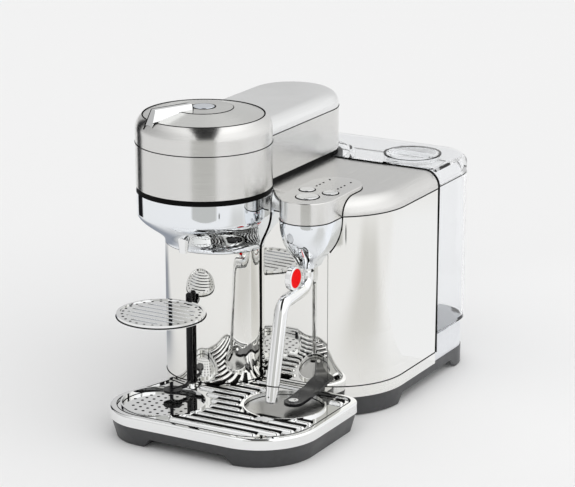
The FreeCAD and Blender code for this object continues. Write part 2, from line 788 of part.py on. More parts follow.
def drive_shaft():
    """Return the shaft of the cage with the rotor of its motor."""
    top = PLATE_TOP - WELL_DEPTH + TURNING_GAP + BEARING_HEIGHT / 2 + CAGE_WALL
    rotor = cylinder(HEAD_AXIS, ROTOR_RADIUS, MOTOR_BOTTOM + MOTOR_WALL + ROTOR_GAP,
                     MOTOR_TOP - MOTOR_WALL - ROTOR_GAP)
    return fuse_all([cylinder(HEAD_AXIS, SHAFT_RADIUS, SHAFT_BOTTOM, top), rotor])


def motor_stator():
    """Return the motor can with its neck up to the chamber floor."""
    hole = SHAFT_RADIUS + TURNING_GAP
    neck = BEARING_RADIUS + MOTOR_WALL
    floor = PLATE_TOP - WELL_DEPTH - LINER_WALL
    return revolve([
        (hole, MOTOR_BOTTOM), (MOTOR_RADIUS, MOTOR_BOTTOM), (MOTOR_RADIUS, MOTOR_TOP), (neck, MOTOR_TOP),
        (neck, floor), (BEARING_RADIUS + LOOSE_GAP, floor), (BEARING_RADIUS + LOOSE_GAP, MOTOR_TOP),
        (hole, MOTOR_TOP), (hole, MOTOR_TOP - MOTOR_WALL),
        (ROTOR_RADIUS + TURNING_GAP, MOTOR_TOP - MOTOR_WALL),
        (ROTOR_RADIUS + TURNING_GAP, MOTOR_BOTTOM + MOTOR_WALL), (hole, MOTOR_BOTTOM + MOTOR_WALL),
    ], HEAD_AXIS)


def shaft_bearings():
    """Return the two bearings that carry the shaft in the motor neck."""
    inner = SHAFT_RADIUS + RUNNING_FIT
    low = MOTOR_TOP
    high = PLATE_TOP - WELL_DEPTH - BEARING_HEIGHT / 2
    return Part.makeCompound([
        tube(HEAD_AXIS, BEARING_RADIUS, inner, low, low + BEARING_HEIGHT),
        tube(HEAD_AXIS, BEARING_RADIUS, inner, high, high + BEARING_HEIGHT),
    ])


def coffee_spout():
    """Return the short nozzle under the front of the bowl."""
    centre = V(HEAD_X, HEAD_Y - SPOUT_FORWARD, 0)
    height = BOWL_STRAIGHT_FROM - SPOUT_BOTTOM
    cone = Part.makeCone(SPOUT_TIP_RADIUS, SPOUT_RADIUS, height / 2, at(centre, SPOUT_BOTTOM))
    bore = cylinder(centre, SPOUT_BORE, SPOUT_BOTTOM - LAP, BOWL_STRAIGHT_FROM)
    nozzle = cone.cut(bore).cut(bowl_solid(0.0, BOWL_BOTTOM, PLATE_TOP))
    return max(nozzle.Solids, key=lambda solid: solid.Volume)


# Lid: head, arm and hinge
def lid_outline_solid(shrink, bottom, top):
    """Return the keyhole shape of the lid, shrunk all round, between two heights."""
    head = cylinder(HEAD_AXIS, HEAD_RADIUS - shrink, bottom, top)
    arm = prism(stadium(HEAD_X, ARM_HALF_WIDTH - shrink, HEAD_Y, ARM_END_Y), bottom, top)
    return head.fuse(arm).removeSplitter()


def knuckle_room():
    """Return the space the hinge knuckles need in the lid."""
    return cross_rod(KNUCKLE_RADIUS + SEAM_GAP, HEAD_X - KNUCKLE_HALF_SPAN, HEAD_X + KNUCKLE_HALF_SPAN,
                     HINGE_Y, HINGE_Z)


def head_ring():
    """Return the brushed band round the head and the arm."""
    ring = lid_outline_solid(0.0, LID_BOTTOM, RING_TOP)
    return ring.cut(lid_outline_solid(HEAD_WALL, LID_BOTTOM - LAP, RING_TOP + LAP)).cut(knuckle_room())


def lug_spans():
    """Return the X ranges of the two hinge lugs."""
    far = LUG_INNER + LUG_WIDTH
    return [(HEAD_X - far, HEAD_X - LUG_INNER), (HEAD_X + LUG_INNER, HEAD_X + far)]


def head_frame():
    """Return the dark inner frame of the lid with its collar and hinge lugs."""
    plate_top = LID_BOTTOM + FRAME_THICKNESS
    fit = HEAD_WALL + LOOSE_GAP
    plate = lid_outline_solid(fit, LID_BOTTOM, plate_top).cut(knuckle_room())
    collar_high = DOME_BOTTOM + COLLAR_ABOVE_SEAM
    collar_low = collar_high - COLLAR_HEIGHT
    collar = lid_outline_solid(fit, collar_low, collar_high)
    collar = collar.cut(lid_outline_solid(fit + HEAD_WALL, collar_low - LAP, collar_high + LAP))
    dome_wall = tube(HEAD_AXIS, HEAD_RADIUS + HEAD_WALL, HEAD_RADIUS - fit, RING_TOP, collar_high + LAP)
    collar = collar.cut(dome_wall)
    post_reach = ARM_HALF_WIDTH - fit - HEAD_WALL
    posts = []
    for side in (-1, 1):
        centre = HEAD_X + side * (post_reach + HEAD_WALL / 2)
        posts.append(block(centre - HEAD_WALL / 2, centre + HEAD_WALL / 2, SEAM_Y / 2, SEAM_Y,
                           plate_top - LAP, collar_low + LAP))
    lugs = []
    for low, high in lug_spans():
        lug = cross_rod(KNUCKLE_RADIUS - LID_GAP, low, high, HINGE_Y, HINGE_Z)
        web = block(low, high, HINGE_Y - 2 * KNUCKLE_RADIUS, HINGE_Y, HINGE_Z, plate_top)
        rear = cylinder(V(HEAD_X, ARM_END_Y, 0), ARM_HALF_WIDTH - fit, 0, plate_top)
        lugs.append(lug.fuse(web.common(rear)))
    frame = fuse_all([plate, collar] + posts + lugs)
    return frame.cut(cross_rod(HINGE_PIN_RADIUS + RUNNING_FIT, HEAD_X - KNUCKLE_HALF_SPAN,
                               HEAD_X + KNUCKLE_HALF_SPAN, HINGE_Y, HINGE_Z))


def dome_profile(grow):
    """Return the outside of the dome as (radius, height) points, grown by a distance."""
    bend_low = DOME_BOTTOM + DOME_STRAIGHT
    middle_radius = (HEAD_RADIUS + DOME_RIM_RADIUS) / 2 + DOME_BULGE
    middle_height = (bend_low + DOME_TOP) / 2 + DOME_BULGE
    start = V(HEAD_RADIUS + grow, 0, bend_low)
    middle = V(middle_radius + grow, 0, middle_height)
    end = V(DOME_RIM_RADIUS + grow, 0, DOME_TOP + grow)
    return start, middle, end


def dome_face(profile, wall):
    """Return the closed section of the dome shell on the XZ plane."""
    start, middle, end = profile
    low = V(start.x, 0, DOME_BOTTOM)
    inner_low = V(start.x - wall, 0, DOME_BOTTOM)
    inner_start = V(start.x - wall, 0, start.z)
    under = V(end.x - wall / 2, 0, LEDGE_TOP - wall)
    ledge_low = V(LEDGE_RADIUS, 0, LEDGE_TOP - wall)
    ledge_top = V(LEDGE_RADIUS, 0, LEDGE_TOP)
    ledge_out = V(end.x, 0, LEDGE_TOP)
    return Part.Face(Part.Wire([
        Part.makeLine(low, start), Part.Arc(start, middle, end).toShape(), Part.makeLine(end, ledge_out),
        Part.makeLine(ledge_out, ledge_top), Part.makeLine(ledge_top, ledge_low),
        Part.makeLine(ledge_low, under), Part.makeLine(under, inner_start),
        Part.makeLine(inner_start, inner_low), Part.makeLine(inner_low, low),
    ]))


def head_cap():
    """Return the domed cap of the head with the ledge for the lock disc."""
    dome = dome_face(dome_profile(0.0), HEAD_WALL).revolve(V(0, 0, 0), UP, 360)
    return dome.translated(HEAD_AXIS)


def dome_room():
    """Return the space the dome takes up, with turning clearance."""
    start, middle, end = dome_profile(TURNING_GAP)
    foot = V(start.x, 0, DOME_BOTTOM - LAP)
    axis_low = V(0, 0, DOME_BOTTOM - LAP)
    axis_top = V(0, 0, end.z)
    section = Part.Face(Part.Wire([
        Part.makeLine(foot, start), Part.Arc(start, middle, end).toShape(), Part.makeLine(end, axis_top),
        Part.makeLine(axis_top, axis_low), Part.makeLine(axis_low, foot),
    ]))
    return section.revolve(V(0, 0, 0), UP, 360).translated(HEAD_AXIS)


def arm_block(shrink, bottom):
    """Return the arm cover as a rounded block, shrunk by a wall."""
    top = ARM_TOP - shrink
    block_shape = prism(stadium(HEAD_X, ARM_HALF_WIDTH - shrink, HEAD_Y, ARM_END_Y), bottom, top)
    return block_shape.makeFillet(ARM_ROUNDING - shrink, edges_at(block_shape, top))


def arm_cover():
    """Return the rounded cover over the arm, up to the dome."""
    cover = arm_block(0.0, DOME_BOTTOM).cut(arm_block(HEAD_WALL, DOME_BOTTOM - LAP))
    return cover.cut(cylinder(HEAD_AXIS, HEAD_RADIUS + LOOSE_GAP, DOME_BOTTOM - LAP, ARM_TOP + LAP))


def injection_head():
    """Return the stepped plate under the lid that presses on a capsule."""
    low = LID_BOTTOM - INJECTION_DEPTH
    step = LID_BOTTOM - INJECTION_DEPTH / 2
    return revolve([
        (0, low), (INJECTION_NOSE_RADIUS, low), (INJECTION_NOSE_RADIUS, step), (INJECTION_RADIUS, step),
        (INJECTION_RADIUS, LID_BOTTOM), (0, LID_BOTTOM),
    ], HEAD_AXIS)


def head_gasket():
    """Return the black seal between the lid and the body, open behind the hinge."""
    seal = lid_outline_solid(LID_GAP, PLATE_TOP, GASKET_TOP)
    inner = CHAMBER_RADIUS + LINER_WALL
    seal = seal.cut(lid_outline_solid(HEAD_RADIUS - inner, PLATE_TOP - LAP, GASKET_TOP + LAP))
    rear = ARM_END_Y + GASKET_TAIL
    return seal.common(block(-MACHINE_WIDTH, MACHINE_WIDTH, FRONT_Y, rear, PLATE_TOP, GASKET_TOP))


def hinge_tower():
    """Return the round tower behind the rear panel with the fixed hinge knuckles."""
    centre = V(HEAD_X, ARM_END_Y, 0)
    behind = block(-MACHINE_WIDTH, MACHINE_WIDTH, REAR_FACE_Y, REAR_Y, 0, DOME_TOP)
    tower = cylinder(centre, TOWER_RADIUS, TANK_BOTTOM, PLATE_TOP)
    core = cylinder(centre, TOWER_RADIUS - TOWER_WALL, TANK_BOTTOM - LAP, PLATE_TOP - 4 * TOWER_WALL)
    tower = tower.cut(core).common(behind)
    reach = KNUCKLE_HALF_SPAN - LID_GAP
    knuckle = cross_rod(KNUCKLE_RADIUS, HEAD_X - reach, HEAD_X + reach, HINGE_Y, HINGE_Z)
    tower = fuse_all([tower, knuckle])
    for low, high in lug_spans():
        tower = tower.cut(block(low - LID_GAP, high + LID_GAP, HINGE_Y - 3 * KNUCKLE_RADIUS, REAR_Y,
                                HINGE_Z - 2 * KNUCKLE_RADIUS, DOME_TOP))
    return tower.cut(cross_rod(HINGE_PIN_RADIUS, HEAD_X - reach - LAP, HEAD_X + reach + LAP,
                               HINGE_Y, HINGE_Z))


def hinge_pin():
    """Return the pin the lid turns on."""
    reach = KNUCKLE_HALF_SPAN - LID_GAP
    return cross_rod(HINGE_PIN_RADIUS, HEAD_X - reach, HEAD_X + reach, HINGE_Y, HINGE_Z)


# Lock disc, lever and brew button
def lock_disc():
    """Return the turning top disc that rises to a ring round the brew button."""
    step = DISC_RIM + DISC_RISE
    hole = BUTTON_RADIUS + LID_GAP
    hub = HUB_RING_RADIUS
    return revolve([
        (DISC_RADIUS, DISC_BOTTOM), (DISC_RADIUS, DISC_RIM), (hub + SEAM_GAP, step),
        (hub + SEAM_GAP, step - SEAM_GAP), (hub, step - SEAM_GAP), (hub, step + HUB_RING_STEP / 2),
        (hole, DISC_TOP), (hole, DISC_TOP - DISC_SHELL), (hub, step - DISC_SHELL),
        (LEDGE_RADIUS, DISC_BOTTOM + SEAM_GAP), (LEDGE_RADIUS, DISC_BOTTOM),
    ], HEAD_AXIS)


def lock_lever():
    """Return the polished fin on the disc, with its grip over the front of the dome."""
    inner = -LEVER_INNER
    outer = -LEVER_OUTER
    low = DISC_RIM - LEVER_DROP
    top = DISC_TOP + LEVER_PROUD
    base = LEVER_BASE_WIDTH / 2
    crest = LEVER_TOP_WIDTH / 2
    section = Part.makePolygon([
        V(-base, inner, low), V(base, inner, low), V(crest, inner, top), V(-crest, inner, top),
        V(-base, inner, low),
    ])
    fin = Part.Face(section).extrude(V(0, outer - inner, 0))
    ends = Part.makePolygon([
        V(-MACHINE_WIDTH, inner, low - LAP), V(-MACHINE_WIDTH, inner, top),
        V(-MACHINE_WIDTH, outer + LEVER_LEAN, top), V(-MACHINE_WIDTH, outer, low),
        V(-MACHINE_WIDTH, outer, low - LAP), V(-MACHINE_WIDTH, inner, low - LAP),
    ])
    fin = fin.common(Part.Face(ends).extrude(V(2 * MACHINE_WIDTH, 0, 0)))
    crest_edges = [edge for edge in edges_at(fin, top) if edge.Length > LEVER_TOP_WIDTH * 2]
    fin = fin.makeFillet(LEVER_TOP_WIDTH / 4, crest_edges)
    fin.rotate(V(0, 0, 0), UP, -LEVER_ANGLE)
    fin = fin.translated(HEAD_AXIS)
    solid_disc = revolve([
        (0, DISC_BOTTOM - DISC_RISE), (DISC_RADIUS, DISC_BOTTOM - DISC_RISE), (DISC_RADIUS, DISC_RIM),
        (HUB_RING_RADIUS + SEAM_GAP, DISC_RIM + DISC_RISE),
        (HUB_RING_RADIUS, DISC_RIM + DISC_RISE + HUB_RING_STEP / 2),
        (BUTTON_RADIUS + LID_GAP, DISC_TOP), (0, DISC_TOP),
    ], HEAD_AXIS)
    return fin.cut(solid_disc).cut(dome_room())


def bayonet_ring():
    """Return the locking ring in the head, on a hub under the lock disc."""
    ring_top = BAYONET_BOTTOM + BAYONET_THICKNESS
    hub_inner = BUTTON_RADIUS + LID_GAP
    seat = DISC_TOP - DISC_SHELL
    slope = HUB_RING_STEP / (HUB_RING_RADIUS - hub_inner)
    outer_seat = seat - slope * (BAYONET_HUB_RADIUS - hub_inner)
    ring = revolve([
        (hub_inner, BAYONET_BOTTOM), (BAYONET_RADIUS, BAYONET_BOTTOM), (BAYONET_RADIUS, ring_top),
        (BAYONET_HUB_RADIUS, ring_top), (BAYONET_HUB_RADIUS, outer_seat), (hub_inner, seat),
    ], HEAD_AXIS)
    lugs = []
    for index in range(3):
        root = HEAD_Y + BAYONET_RADIUS
        lug = block(HEAD_X - BAYONET_LUG_WIDTH / 2, HEAD_X + BAYONET_LUG_WIDTH / 2,
                    root - LAP, root + BAYONET_LUG_REACH, BAYONET_BOTTOM, ring_top)
        lug.rotate(HEAD_AXIS, UP, index * 120)
        lugs.append(lug)
    return fuse_all([ring] + lugs)


def brew_button():
    """Return the round button in the middle of the disc."""
    top = DISC_TOP + BUTTON_PROUD
    button = cylinder(HEAD_AXIS, BUTTON_RADIUS, top - BUTTON_HEIGHT, top)
    return button.makeFillet(BUTTON_PROUD, edges_at(button, top))


# Control panel
def key_places():
    """Return name, centre and radius of the three keys on the panel."""
    back = NOSE_Y + SIDE_BUTTON_BACK
    return [
        ("start_button", NOSE_AXIS, START_BUTTON_RADIUS),
        ("froth_button", V(NOSE_X - SIDE_BUTTON_SPREAD, back, 0), SIDE_BUTTON_RADIUS),
        ("temperature_button", V(NOSE_X + SIDE_BUTTON_SPREAD, back, 0), SIDE_BUTTON_RADIUS),
    ]


def board_posts(bottom, top):
    """Return the four posts the control board hangs from."""
    posts = []
    for side in (-1, 1):
        for share in BOARD_POST_SHARES:
            centre = V(NOSE_X + side * (BOARD_HALF_WIDTH - BOARD_POST_RADIUS),
                       NOSE_Y - BOARD_FRONT + share * BOARD_LENGTH, 0)
            posts.append(cylinder(centre, BOARD_POST_RADIUS, bottom, top))
    return posts


def panel_cap():
    """Return the brushed panel cap with key holes and board posts."""
    outline = panel_outline(0.0)
    cap = prism(outline, WALL_TOP, PANEL_TOP)
    cap = cap.makeFillet(PANEL_EDGE, edges_at(cap, PANEL_TOP))
    cap = cap.cut(prism(inset(outline, PANEL_WALL), WALL_TOP - LAP, PANEL_TOP - PANEL_WALL))
    cap = fuse_all([cap] + board_posts(PANEL_TOP - BOARD_DROP, PANEL_TOP - PANEL_WALL / 2))
    for _, centre, radius in key_places():
        cap = cap.cut(cylinder(centre, radius + LID_GAP, PANEL_TOP - PANEL_WALL - LAP, PANEL_TOP + LAP))
    return cap


def panel_key(centre, radius):
    """Return one key with the flange that keeps it under the cap."""
    top = PANEL_TOP + KEY_PROUD
    bottom = PANEL_TOP + KEY_PROUD - KEY_DEPTH
    flange_top = PANEL_TOP - PANEL_WALL - LOOSE_GAP
    key = cylinder(centre, radius, bottom, top)
    key = key.makeFillet(KEY_PROUD / 2, edges_at(key, top))
    flange = cylinder(centre, radius + KEY_FLANGE, flange_top - KEY_FLANGE_THICKNESS, flange_top)
    return fuse_all([key, flange])


def panel_lights():
    """Return the two rows of small lights behind the side keys."""
    lights = []
    for side in (-1, 1):
        for back in LIGHT_BACK:
            centre = V(NOSE_X + side * LIGHT_SPREAD, NOSE_Y + back, 0)
            lights.append(cylinder(centre, LIGHT_RADIUS, PANEL_TOP, PANEL_TOP + LIGHT_HEIGHT))
    return Part.makeCompound(lights)


def control_board():
    """Return the circuit board under the keys."""
    top = PANEL_TOP - BOARD_DROP
    front = NOSE_Y - BOARD_FRONT
    return block(NOSE_X - BOARD_HALF_WIDTH, NOSE_X + BOARD_HALF_WIDTH, front, front + BOARD_LENGTH,
                 top - BOARD_THICKNESS, top)


# Steam funnel and wand
def funnel_solid(shrink):
    """Return the funnel below the panel nose, carried back to the front wall."""
    points = [V(max(radius - shrink, LAP), 0, WALL_TOP - drop) for drop, radius in FUNNEL_PROFILE]
    curve = Part.BSplineCurve()
    curve.interpolate(points)
    axis_top = V(0, 0, points[0].z)
    axis_low = V(0, 0, points[-1].z)
    section = Part.Face(Part.Wire([
        curve.toShape(), Part.makeLine(points[-1], axis_low), Part.makeLine(axis_low, axis_top),
        Part.makeLine(axis_top, points[0]),
    ]))
    turned = section.revolve(V(0, 0, 0), UP, 360).translated(NOSE_AXIS)
    behind = section.extrude(V(0, NOSE_FORWARD + NOSE_RADIUS, 0)).translated(NOSE_AXIS)
    mirrored = behind.mirror(NOSE_AXIS, V(1, 0, 0))
    return turned.fuse([behind, mirrored]).removeSplitter()


def steam_funnel():
    """Return the polished funnel with the socket for the wand."""
    funnel = funnel_solid(0.0).cut(prism(body_outline(), 0, PLATE_TOP))
    low = WALL_TOP - FUNNEL_PROFILE[-1][0]
    room = block(-MACHINE_WIDTH, MACHINE_WIDTH, FRONT_Y, WALL_Y - FUNNEL_WALL,
                 WAND_PIVOT_Z + WAND_RADIUS, PLATE_TOP)
    funnel = funnel.cut(funnel_solid(FUNNEL_WALL).common(room))
    bore = WAND_BALL_RADIUS + LID_GAP
    funnel = funnel.cut(cylinder(NOSE_AXIS, bore, low - LAP, WAND_PIVOT_Z + WAND_RADIUS + LAP))
    reach = WAND_PIN_HALF + LAP
    pin_hole = cross_rod(WAND_PIN_RADIUS + RUNNING_FIT, NOSE_X - reach, NOSE_X + reach,
                         NOSE_Y, WAND_PIVOT_Z)
    return funnel.cut(pin_hole)


def wand_points():
    """Return the corners of the wand from the pivot to the tip."""
    return [
        V(NOSE_X, NOSE_Y, WAND_PIVOT_Z - WAND_COLLAR_DROP),
        V(NOSE_X, NOSE_Y, WAND_PIVOT_Z - WAND_RUN_DROP),
        V(NOSE_X, NOSE_Y - WAND_ELBOW_FORWARD, WAND_PIVOT_Z - WAND_ELBOW_DROP),
        V(NOSE_X, NOSE_Y - WAND_TIP_FORWARD, WAND_PIVOT_Z - WAND_TIP_DROP),
    ]


def wand_tip_start():
    """Return where the tip begins, and the direction it points in."""
    elbow, end = wand_points()[-2:]
    direction = (end - elbow).normalize()
    return end - direction * WAND_TIP_LENGTH, direction


def wand_tube():
    """Return the bent wand with its ball and pivot pins."""
    start, _ = wand_tip_start()
    corners = wand_points()[:-1] + [start]
    neck_base = corners[0] - UP
    pivot = V(NOSE_X, NOSE_Y, WAND_PIVOT_Z)
    neck = Part.makeCylinder(WAND_NECK_RADIUS, WAND_COLLAR_DROP + LAP, neck_base)
    ball = Part.makeSphere(WAND_BALL_RADIUS, pivot)
    pins = cross_rod(WAND_PIN_RADIUS, NOSE_X - WAND_PIN_HALF, NOSE_X + WAND_PIN_HALF, NOSE_Y, WAND_PIVOT_Z)
    outer = fuse_all([pipe(corners, WAND_BEND, WAND_RADIUS), neck, ball, pins])
    return outer.cut(pipe(corners, WAND_BEND, WAND_BORE))


def wand_tip():
    """Return the screwed tip with a groove at its joint and steam holes."""
    start, direction = wand_tip_start()
    body = Part.makeCylinder(WAND_TIP_RADIUS - WAND_GROOVE, WAND_GROOVE_WIDTH, start, direction)
    barrel_start = start + direction * WAND_GROOVE_WIDTH
    barrel_length = WAND_TIP_LENGTH - WAND_GROOVE_WIDTH
    barrel = Part.makeCylinder(WAND_TIP_RADIUS, barrel_length, barrel_start, direction)
    end = start + direction * WAND_TIP_LENGTH
    tip_edges = [edge for edge in barrel.Edges if (edge.CenterOfMass - end).Length < 1e-3]
    barrel = barrel.makeFillet(WAND_TIP_RADIUS / 3, tip_edges)
    bore = Part.makeCylinder(WAND_BORE, WAND_TIP_LENGTH - WAND_TIP_RADIUS / 2, start, direction)
    tip = fuse_all([body, barrel]).cut(bore)
    side = V(1, 0, 0)
    hole_start = end - direction * WAND_TIP_RADIUS
    for index in range(WAND_HOLES):
        way = FreeCAD.Rotation(direction, index * 360 / WAND_HOLES).multVec(side)
        tip = tip.cut(Part.makeCylinder(WAND_HOLE_RADIUS, WAND_TIP_RADIUS * 2, hole_start, way))
    return tip


def tab_centre():
    """Return the centre of the lift tab on the wand."""
    return V(NOSE_X, NOSE_Y - TAB_FORWARD, WAND_PIVOT_Z - TAB_DROP)


def lift_tab():
    """Return the polished ring of the lift tab, seated on the wand."""
    centre = tab_centre()
    half = TAB_THICKNESS / 2
    ring = cross_rod(TAB_RADIUS, NOSE_X - half, NOSE_X + half, centre.y, centre.z)
    ring = ring.makeFillet(TAB_RIM / 3, [edge for edge in ring.Edges if edge.Length > TAB_RADIUS * 3])
    ring = ring.cut(cross_rod(TAB_RADIUS - TAB_RIM, NOSE_X - half - LAP, NOSE_X + half + LAP,
                              centre.y, centre.z))
    start, _ = wand_tip_start()
    return ring.cut(pipe(wand_points()[:-1] + [start], WAND_BEND, WAND_RADIUS))


def tab_insert():
    """Return the coloured disc held in the lift tab."""
    centre = tab_centre()
    half = INSERT_THICKNESS / 2
    return cross_rod(TAB_RADIUS - TAB_RIM, NOSE_X - half, NOSE_X + half, centre.y, centre.z)


# Milk temperature sensor
def sensor_tip_y():
    """Return the centre of the rounded end of the sensor arm."""
    return WALL_Y - SENSOR_REACH


def sensor_curve(drop):
    """Return the wave along the top of the sensor arm, lowered by a distance."""
    curve = Part.BSplineCurve()
    curve.interpolate([V(0, WALL_Y - forward, SENSOR_TOP + rise - drop) for forward, rise in SENSOR_WAVE])
    return curve.toShape()


def sensor_arm():
    """Return the waved dark arm that reaches from the wall over the jug dish."""
    upper = sensor_curve(0.0)
    lower = sensor_curve(SENSOR_THICKNESS)
    section = Part.Face(Part.Wire([
        upper, Part.makeLine(upper.lastVertex().Point, lower.lastVertex().Point), lower,
        Part.makeLine(lower.firstVertex().Point, upper.firstVertex().Point),
    ]))
    half = SENSOR_HALF_WIDTH
    ribbon = section.extrude(V(2 * half, 0, 0)).translated(V(SENSOR_X - half, 0, 0))
    plan = prism(stadium(SENSOR_X, half, sensor_tip_y(), WALL_Y + half), 0, WALL_TOP)
    return ribbon.common(plan).cut(prism(body_outline(), 0, WALL_TOP))


def sensor_button():
    """Return the bright contact on the sensor arm."""
    return cylinder(V(SENSOR_X, sensor_tip_y(), 0), SENSOR_BUTTON_RADIUS, SENSOR_TOP,
                    SENSOR_TOP + SENSOR_BUTTON_HEIGHT)


# Drip tray
def tray_outline():
    """Return the plan of the drip tray before the column is cut out of it."""
    rear = WALL_Y - TRAY_REAR_GAP
    return rounded_outline([
        (TRAY_LEFT_FRONT_X, FRONT_Y, TRAY_LEFT_RADIUS),
        (TRAY_RIGHT, FRONT_Y, TRAY_RIGHT_FRONT_RADIUS),
        (TRAY_RIGHT, rear, TRAY_RIGHT_REAR_RADIUS),
        (TRAY_LEFT_REAR_X, rear, 0),
    ])


def column_room():
    """Return the space the column needs at the back of the tray."""
    return cylinder(V(HEAD_X, COLUMN_Y, 0), COLUMN_RADIUS + TRAY_GAP, -LAP, WALL_TOP)


def tray_skirt():
    """Return the dark pan of the tray with an arch between its front feet."""
    outline = tray_outline()
    low = inset(outline, TRAY_BOTTOM_INSET).translated(V(0, 0, TRAY_LIFT))
    high = inset(outline, TRAY_TOP_INSET).translated(V(0, 0, BAND_BOTTOM))
    pan = Part.makeLoft([low, high], True, True)
    pan = pan.cut(column_room())
    hollow = prism(inset(outline, TRAY_TOP_INSET + TRAY_WALL + RIM_LEDGE), TRAY_FLOOR, BAND_BOTTOM + LAP)
    column_wall = cylinder(V(HEAD_X, COLUMN_Y, 0), COLUMN_RADIUS + TRAY_GAP + TRAY_WALL, 0, WALL_TOP)
    pan = pan.cut(hollow.cut(column_wall))
    arch = slanted_arch(TRAY_LEFT_FRONT_X + TRAY_ARCH_FROM_LEFT, TRAY_RIGHT - TRAY_ARCH_FROM_RIGHT,
                        TRAY_ARCH_HEIGHT, TRAY_ARCH_SLANT, True, MACHINE_WIDTH)
    return pan.cut(arch)


def tray_rim():
    """Return the polished band round the tray with the ledge for the deck."""
    outline = tray_outline()
    rim = prism(outline, BAND_BOTTOM, RIM_TOP)
    rim = rim.makeFillet(RIM_ROUND, edges_at(rim, RIM_TOP))
    rim = rim.cut(prism(inset(outline, RIM_WIDTH), BAND_BOTTOM - LAP, RIM_TOP + LAP))
    ledge = prism(inset(outline, RIM_WIDTH - LAP), BAND_BOTTOM, DECK_BOTTOM)
    ledge = ledge.cut(prism(inset(outline, RIM_WIDTH + RIM_LEDGE), BAND_BOTTOM - LAP, DECK_BOTTOM + LAP))
    rim = fuse_all([rim, ledge]).cut(column_room())
    for centre, radius in dish_centres():
        rim = rim.cut(cylinder(centre, radius + DISH_RING + LOOSE_GAP, 0, WALL_TOP))
    return rim


def dish_centres():
    """Return centre and radius of the two round openings in the deck."""
    return [(V(DISH_X, DISH_Y, 0), DISH_RADIUS), (V(JUG_X, JUG_Y, 0), JUG_RADIUS)]


def rib_lines():
    """Return the straight runs, as end points, that the ribs of the deck follow."""
    margin = RIM_WIDTH + RIB_MARGIN + RIB_RADIUS
    zone = Part.Face(inset(tray_outline(), margin))
    keep_out = [(centre, radius + DISH_RING) for centre, radius in dish_centres()]
    keep_out.append((V(HEAD_X, COLUMN_Y, 0), COLUMN_RADIUS + TRAY_GAP))
    keep_out.append((V(HEAD_X, POST_Y, 0), POST_BOSS_RADIUS + POST_RADIUS))
    for centre, radius in keep_out:
        circle = Part.makeCircle(radius + RIB_MARGIN + RIB_RADIUS, centre, UP)
        zone = zone.cut(Part.Face(Part.Wire(circle)))
    runs = []
    place = FRONT_Y + margin + RIB_RADIUS
    while place < WALL_Y - TRAY_REAR_GAP - margin:
        line = Part.makeLine(V(-MACHINE_WIDTH, place, 0), V(MACHINE_WIDTH, place, 0))
        for edge in zone.common(line).Edges:
            if edge.Length > RIB_MIN_LENGTH and edge.BoundBox.XMin > DISH_X:
                runs.append((edge.BoundBox.XMin, edge.BoundBox.XMax, place))
        place += RIB_PITCH
    return runs


def tray_rib(x_from, x_to, y):
    """Return one rounded rib of the deck."""
    height = RIB_TOP - RIB_RADIUS
    rod = cross_rod(RIB_RADIUS, x_from, x_to, y, height)
    ends = [Part.makeSphere(RIB_RADIUS, V(x, y, height)) for x in (x_from, x_to)]
    return rod.fuse(ends)


def tray_deck():
    """Return the ribbed deck with its two dishes and the boss for the cup post."""
    deck = prism(inset(tray_outline(), RIM_WIDTH + LOOSE_GAP), DECK_BOTTOM, DECK_TOP)
    rings = []
    for centre, radius in dish_centres():
        deck = deck.cut(cylinder(centre, radius + DISH_RING / 2, 0, WALL_TOP))
        low = DISH_SEAT - DISH_PLATE
        rings.append(tube(centre, radius + DISH_RING, radius, low, DISH_RING_TOP))
        rings.append(tube(centre, radius + DISH_RING / 2, radius - DISH_LEDGE, low, DISH_SEAT))
    boss = cylinder(V(HEAD_X, POST_Y, 0), POST_BOSS_RADIUS, DECK_BOTTOM - DECK_THICKNESS, POST_BOSS_TOP)
    dish = cylinder(V(DISH_X, DISH_Y, 0), DISH_RADIUS, 0, WALL_TOP)
    deck = fuse_all([deck, boss.cut(dish)] + rings)
    ribs = []
    slots = []
    for x_from, x_to, y in rib_lines():
        ribs.append(tray_rib(x_from, x_to, y))
        slot_y = y + RIB_PITCH / 2
        slots.append(block(x_from, x_to, slot_y - SLOT_WIDTH / 2, slot_y + SLOT_WIDTH / 2,
                           DECK_BOTTOM - LAP, DECK_TOP + LAP))
    guard = [cylinder(centre, radius + DISH_RING, 0, WALL_TOP) for centre, radius in dish_centres()]
    cutter = Part.makeCompound(slots).cut(guard[0]).cut(guard[1])
    deck = fuse_all([deck.cut(cutter)] + ribs)
    pin_hole = cylinder(V(HEAD_X, POST_Y, 0), POST_PIN_RADIUS + RUNNING_FIT, 0, WALL_TOP)
    return deck.cut(column_room()).cut(pin_hole)


def hole_places(radius, pitch):
    """Return the centres of holes on a square grid inside a circle."""
    places = []
    reach = int(radius / pitch)
    for column in range(-reach, reach + 1):
        for row in range(-reach, reach + 1):
            x, y = column * pitch, row * pitch
            if math.hypot(x, y) < radius - pitch / 2:
                places.append((x, y))
    return places


def dish_grid():
    """Return the perforated round plate under the cup support."""
    centre = V(DISH_X, DISH_Y, 0)
    top = DISH_SEAT + DISH_PLATE
    plate = cylinder(centre, DISH_RADIUS - LOOSE_GAP, DISH_SEAT, top)
    holes = []
    for x, y in hole_places(DISH_RADIUS - DISH_LEDGE, DISH_HOLE_PITCH):
        holes.append(cylinder(V(DISH_X + x, DISH_Y + y, 0), DISH_HOLE_RADIUS, DISH_SEAT - LAP, top + LAP))
    return plate.cut(Part.makeCompound(holes))


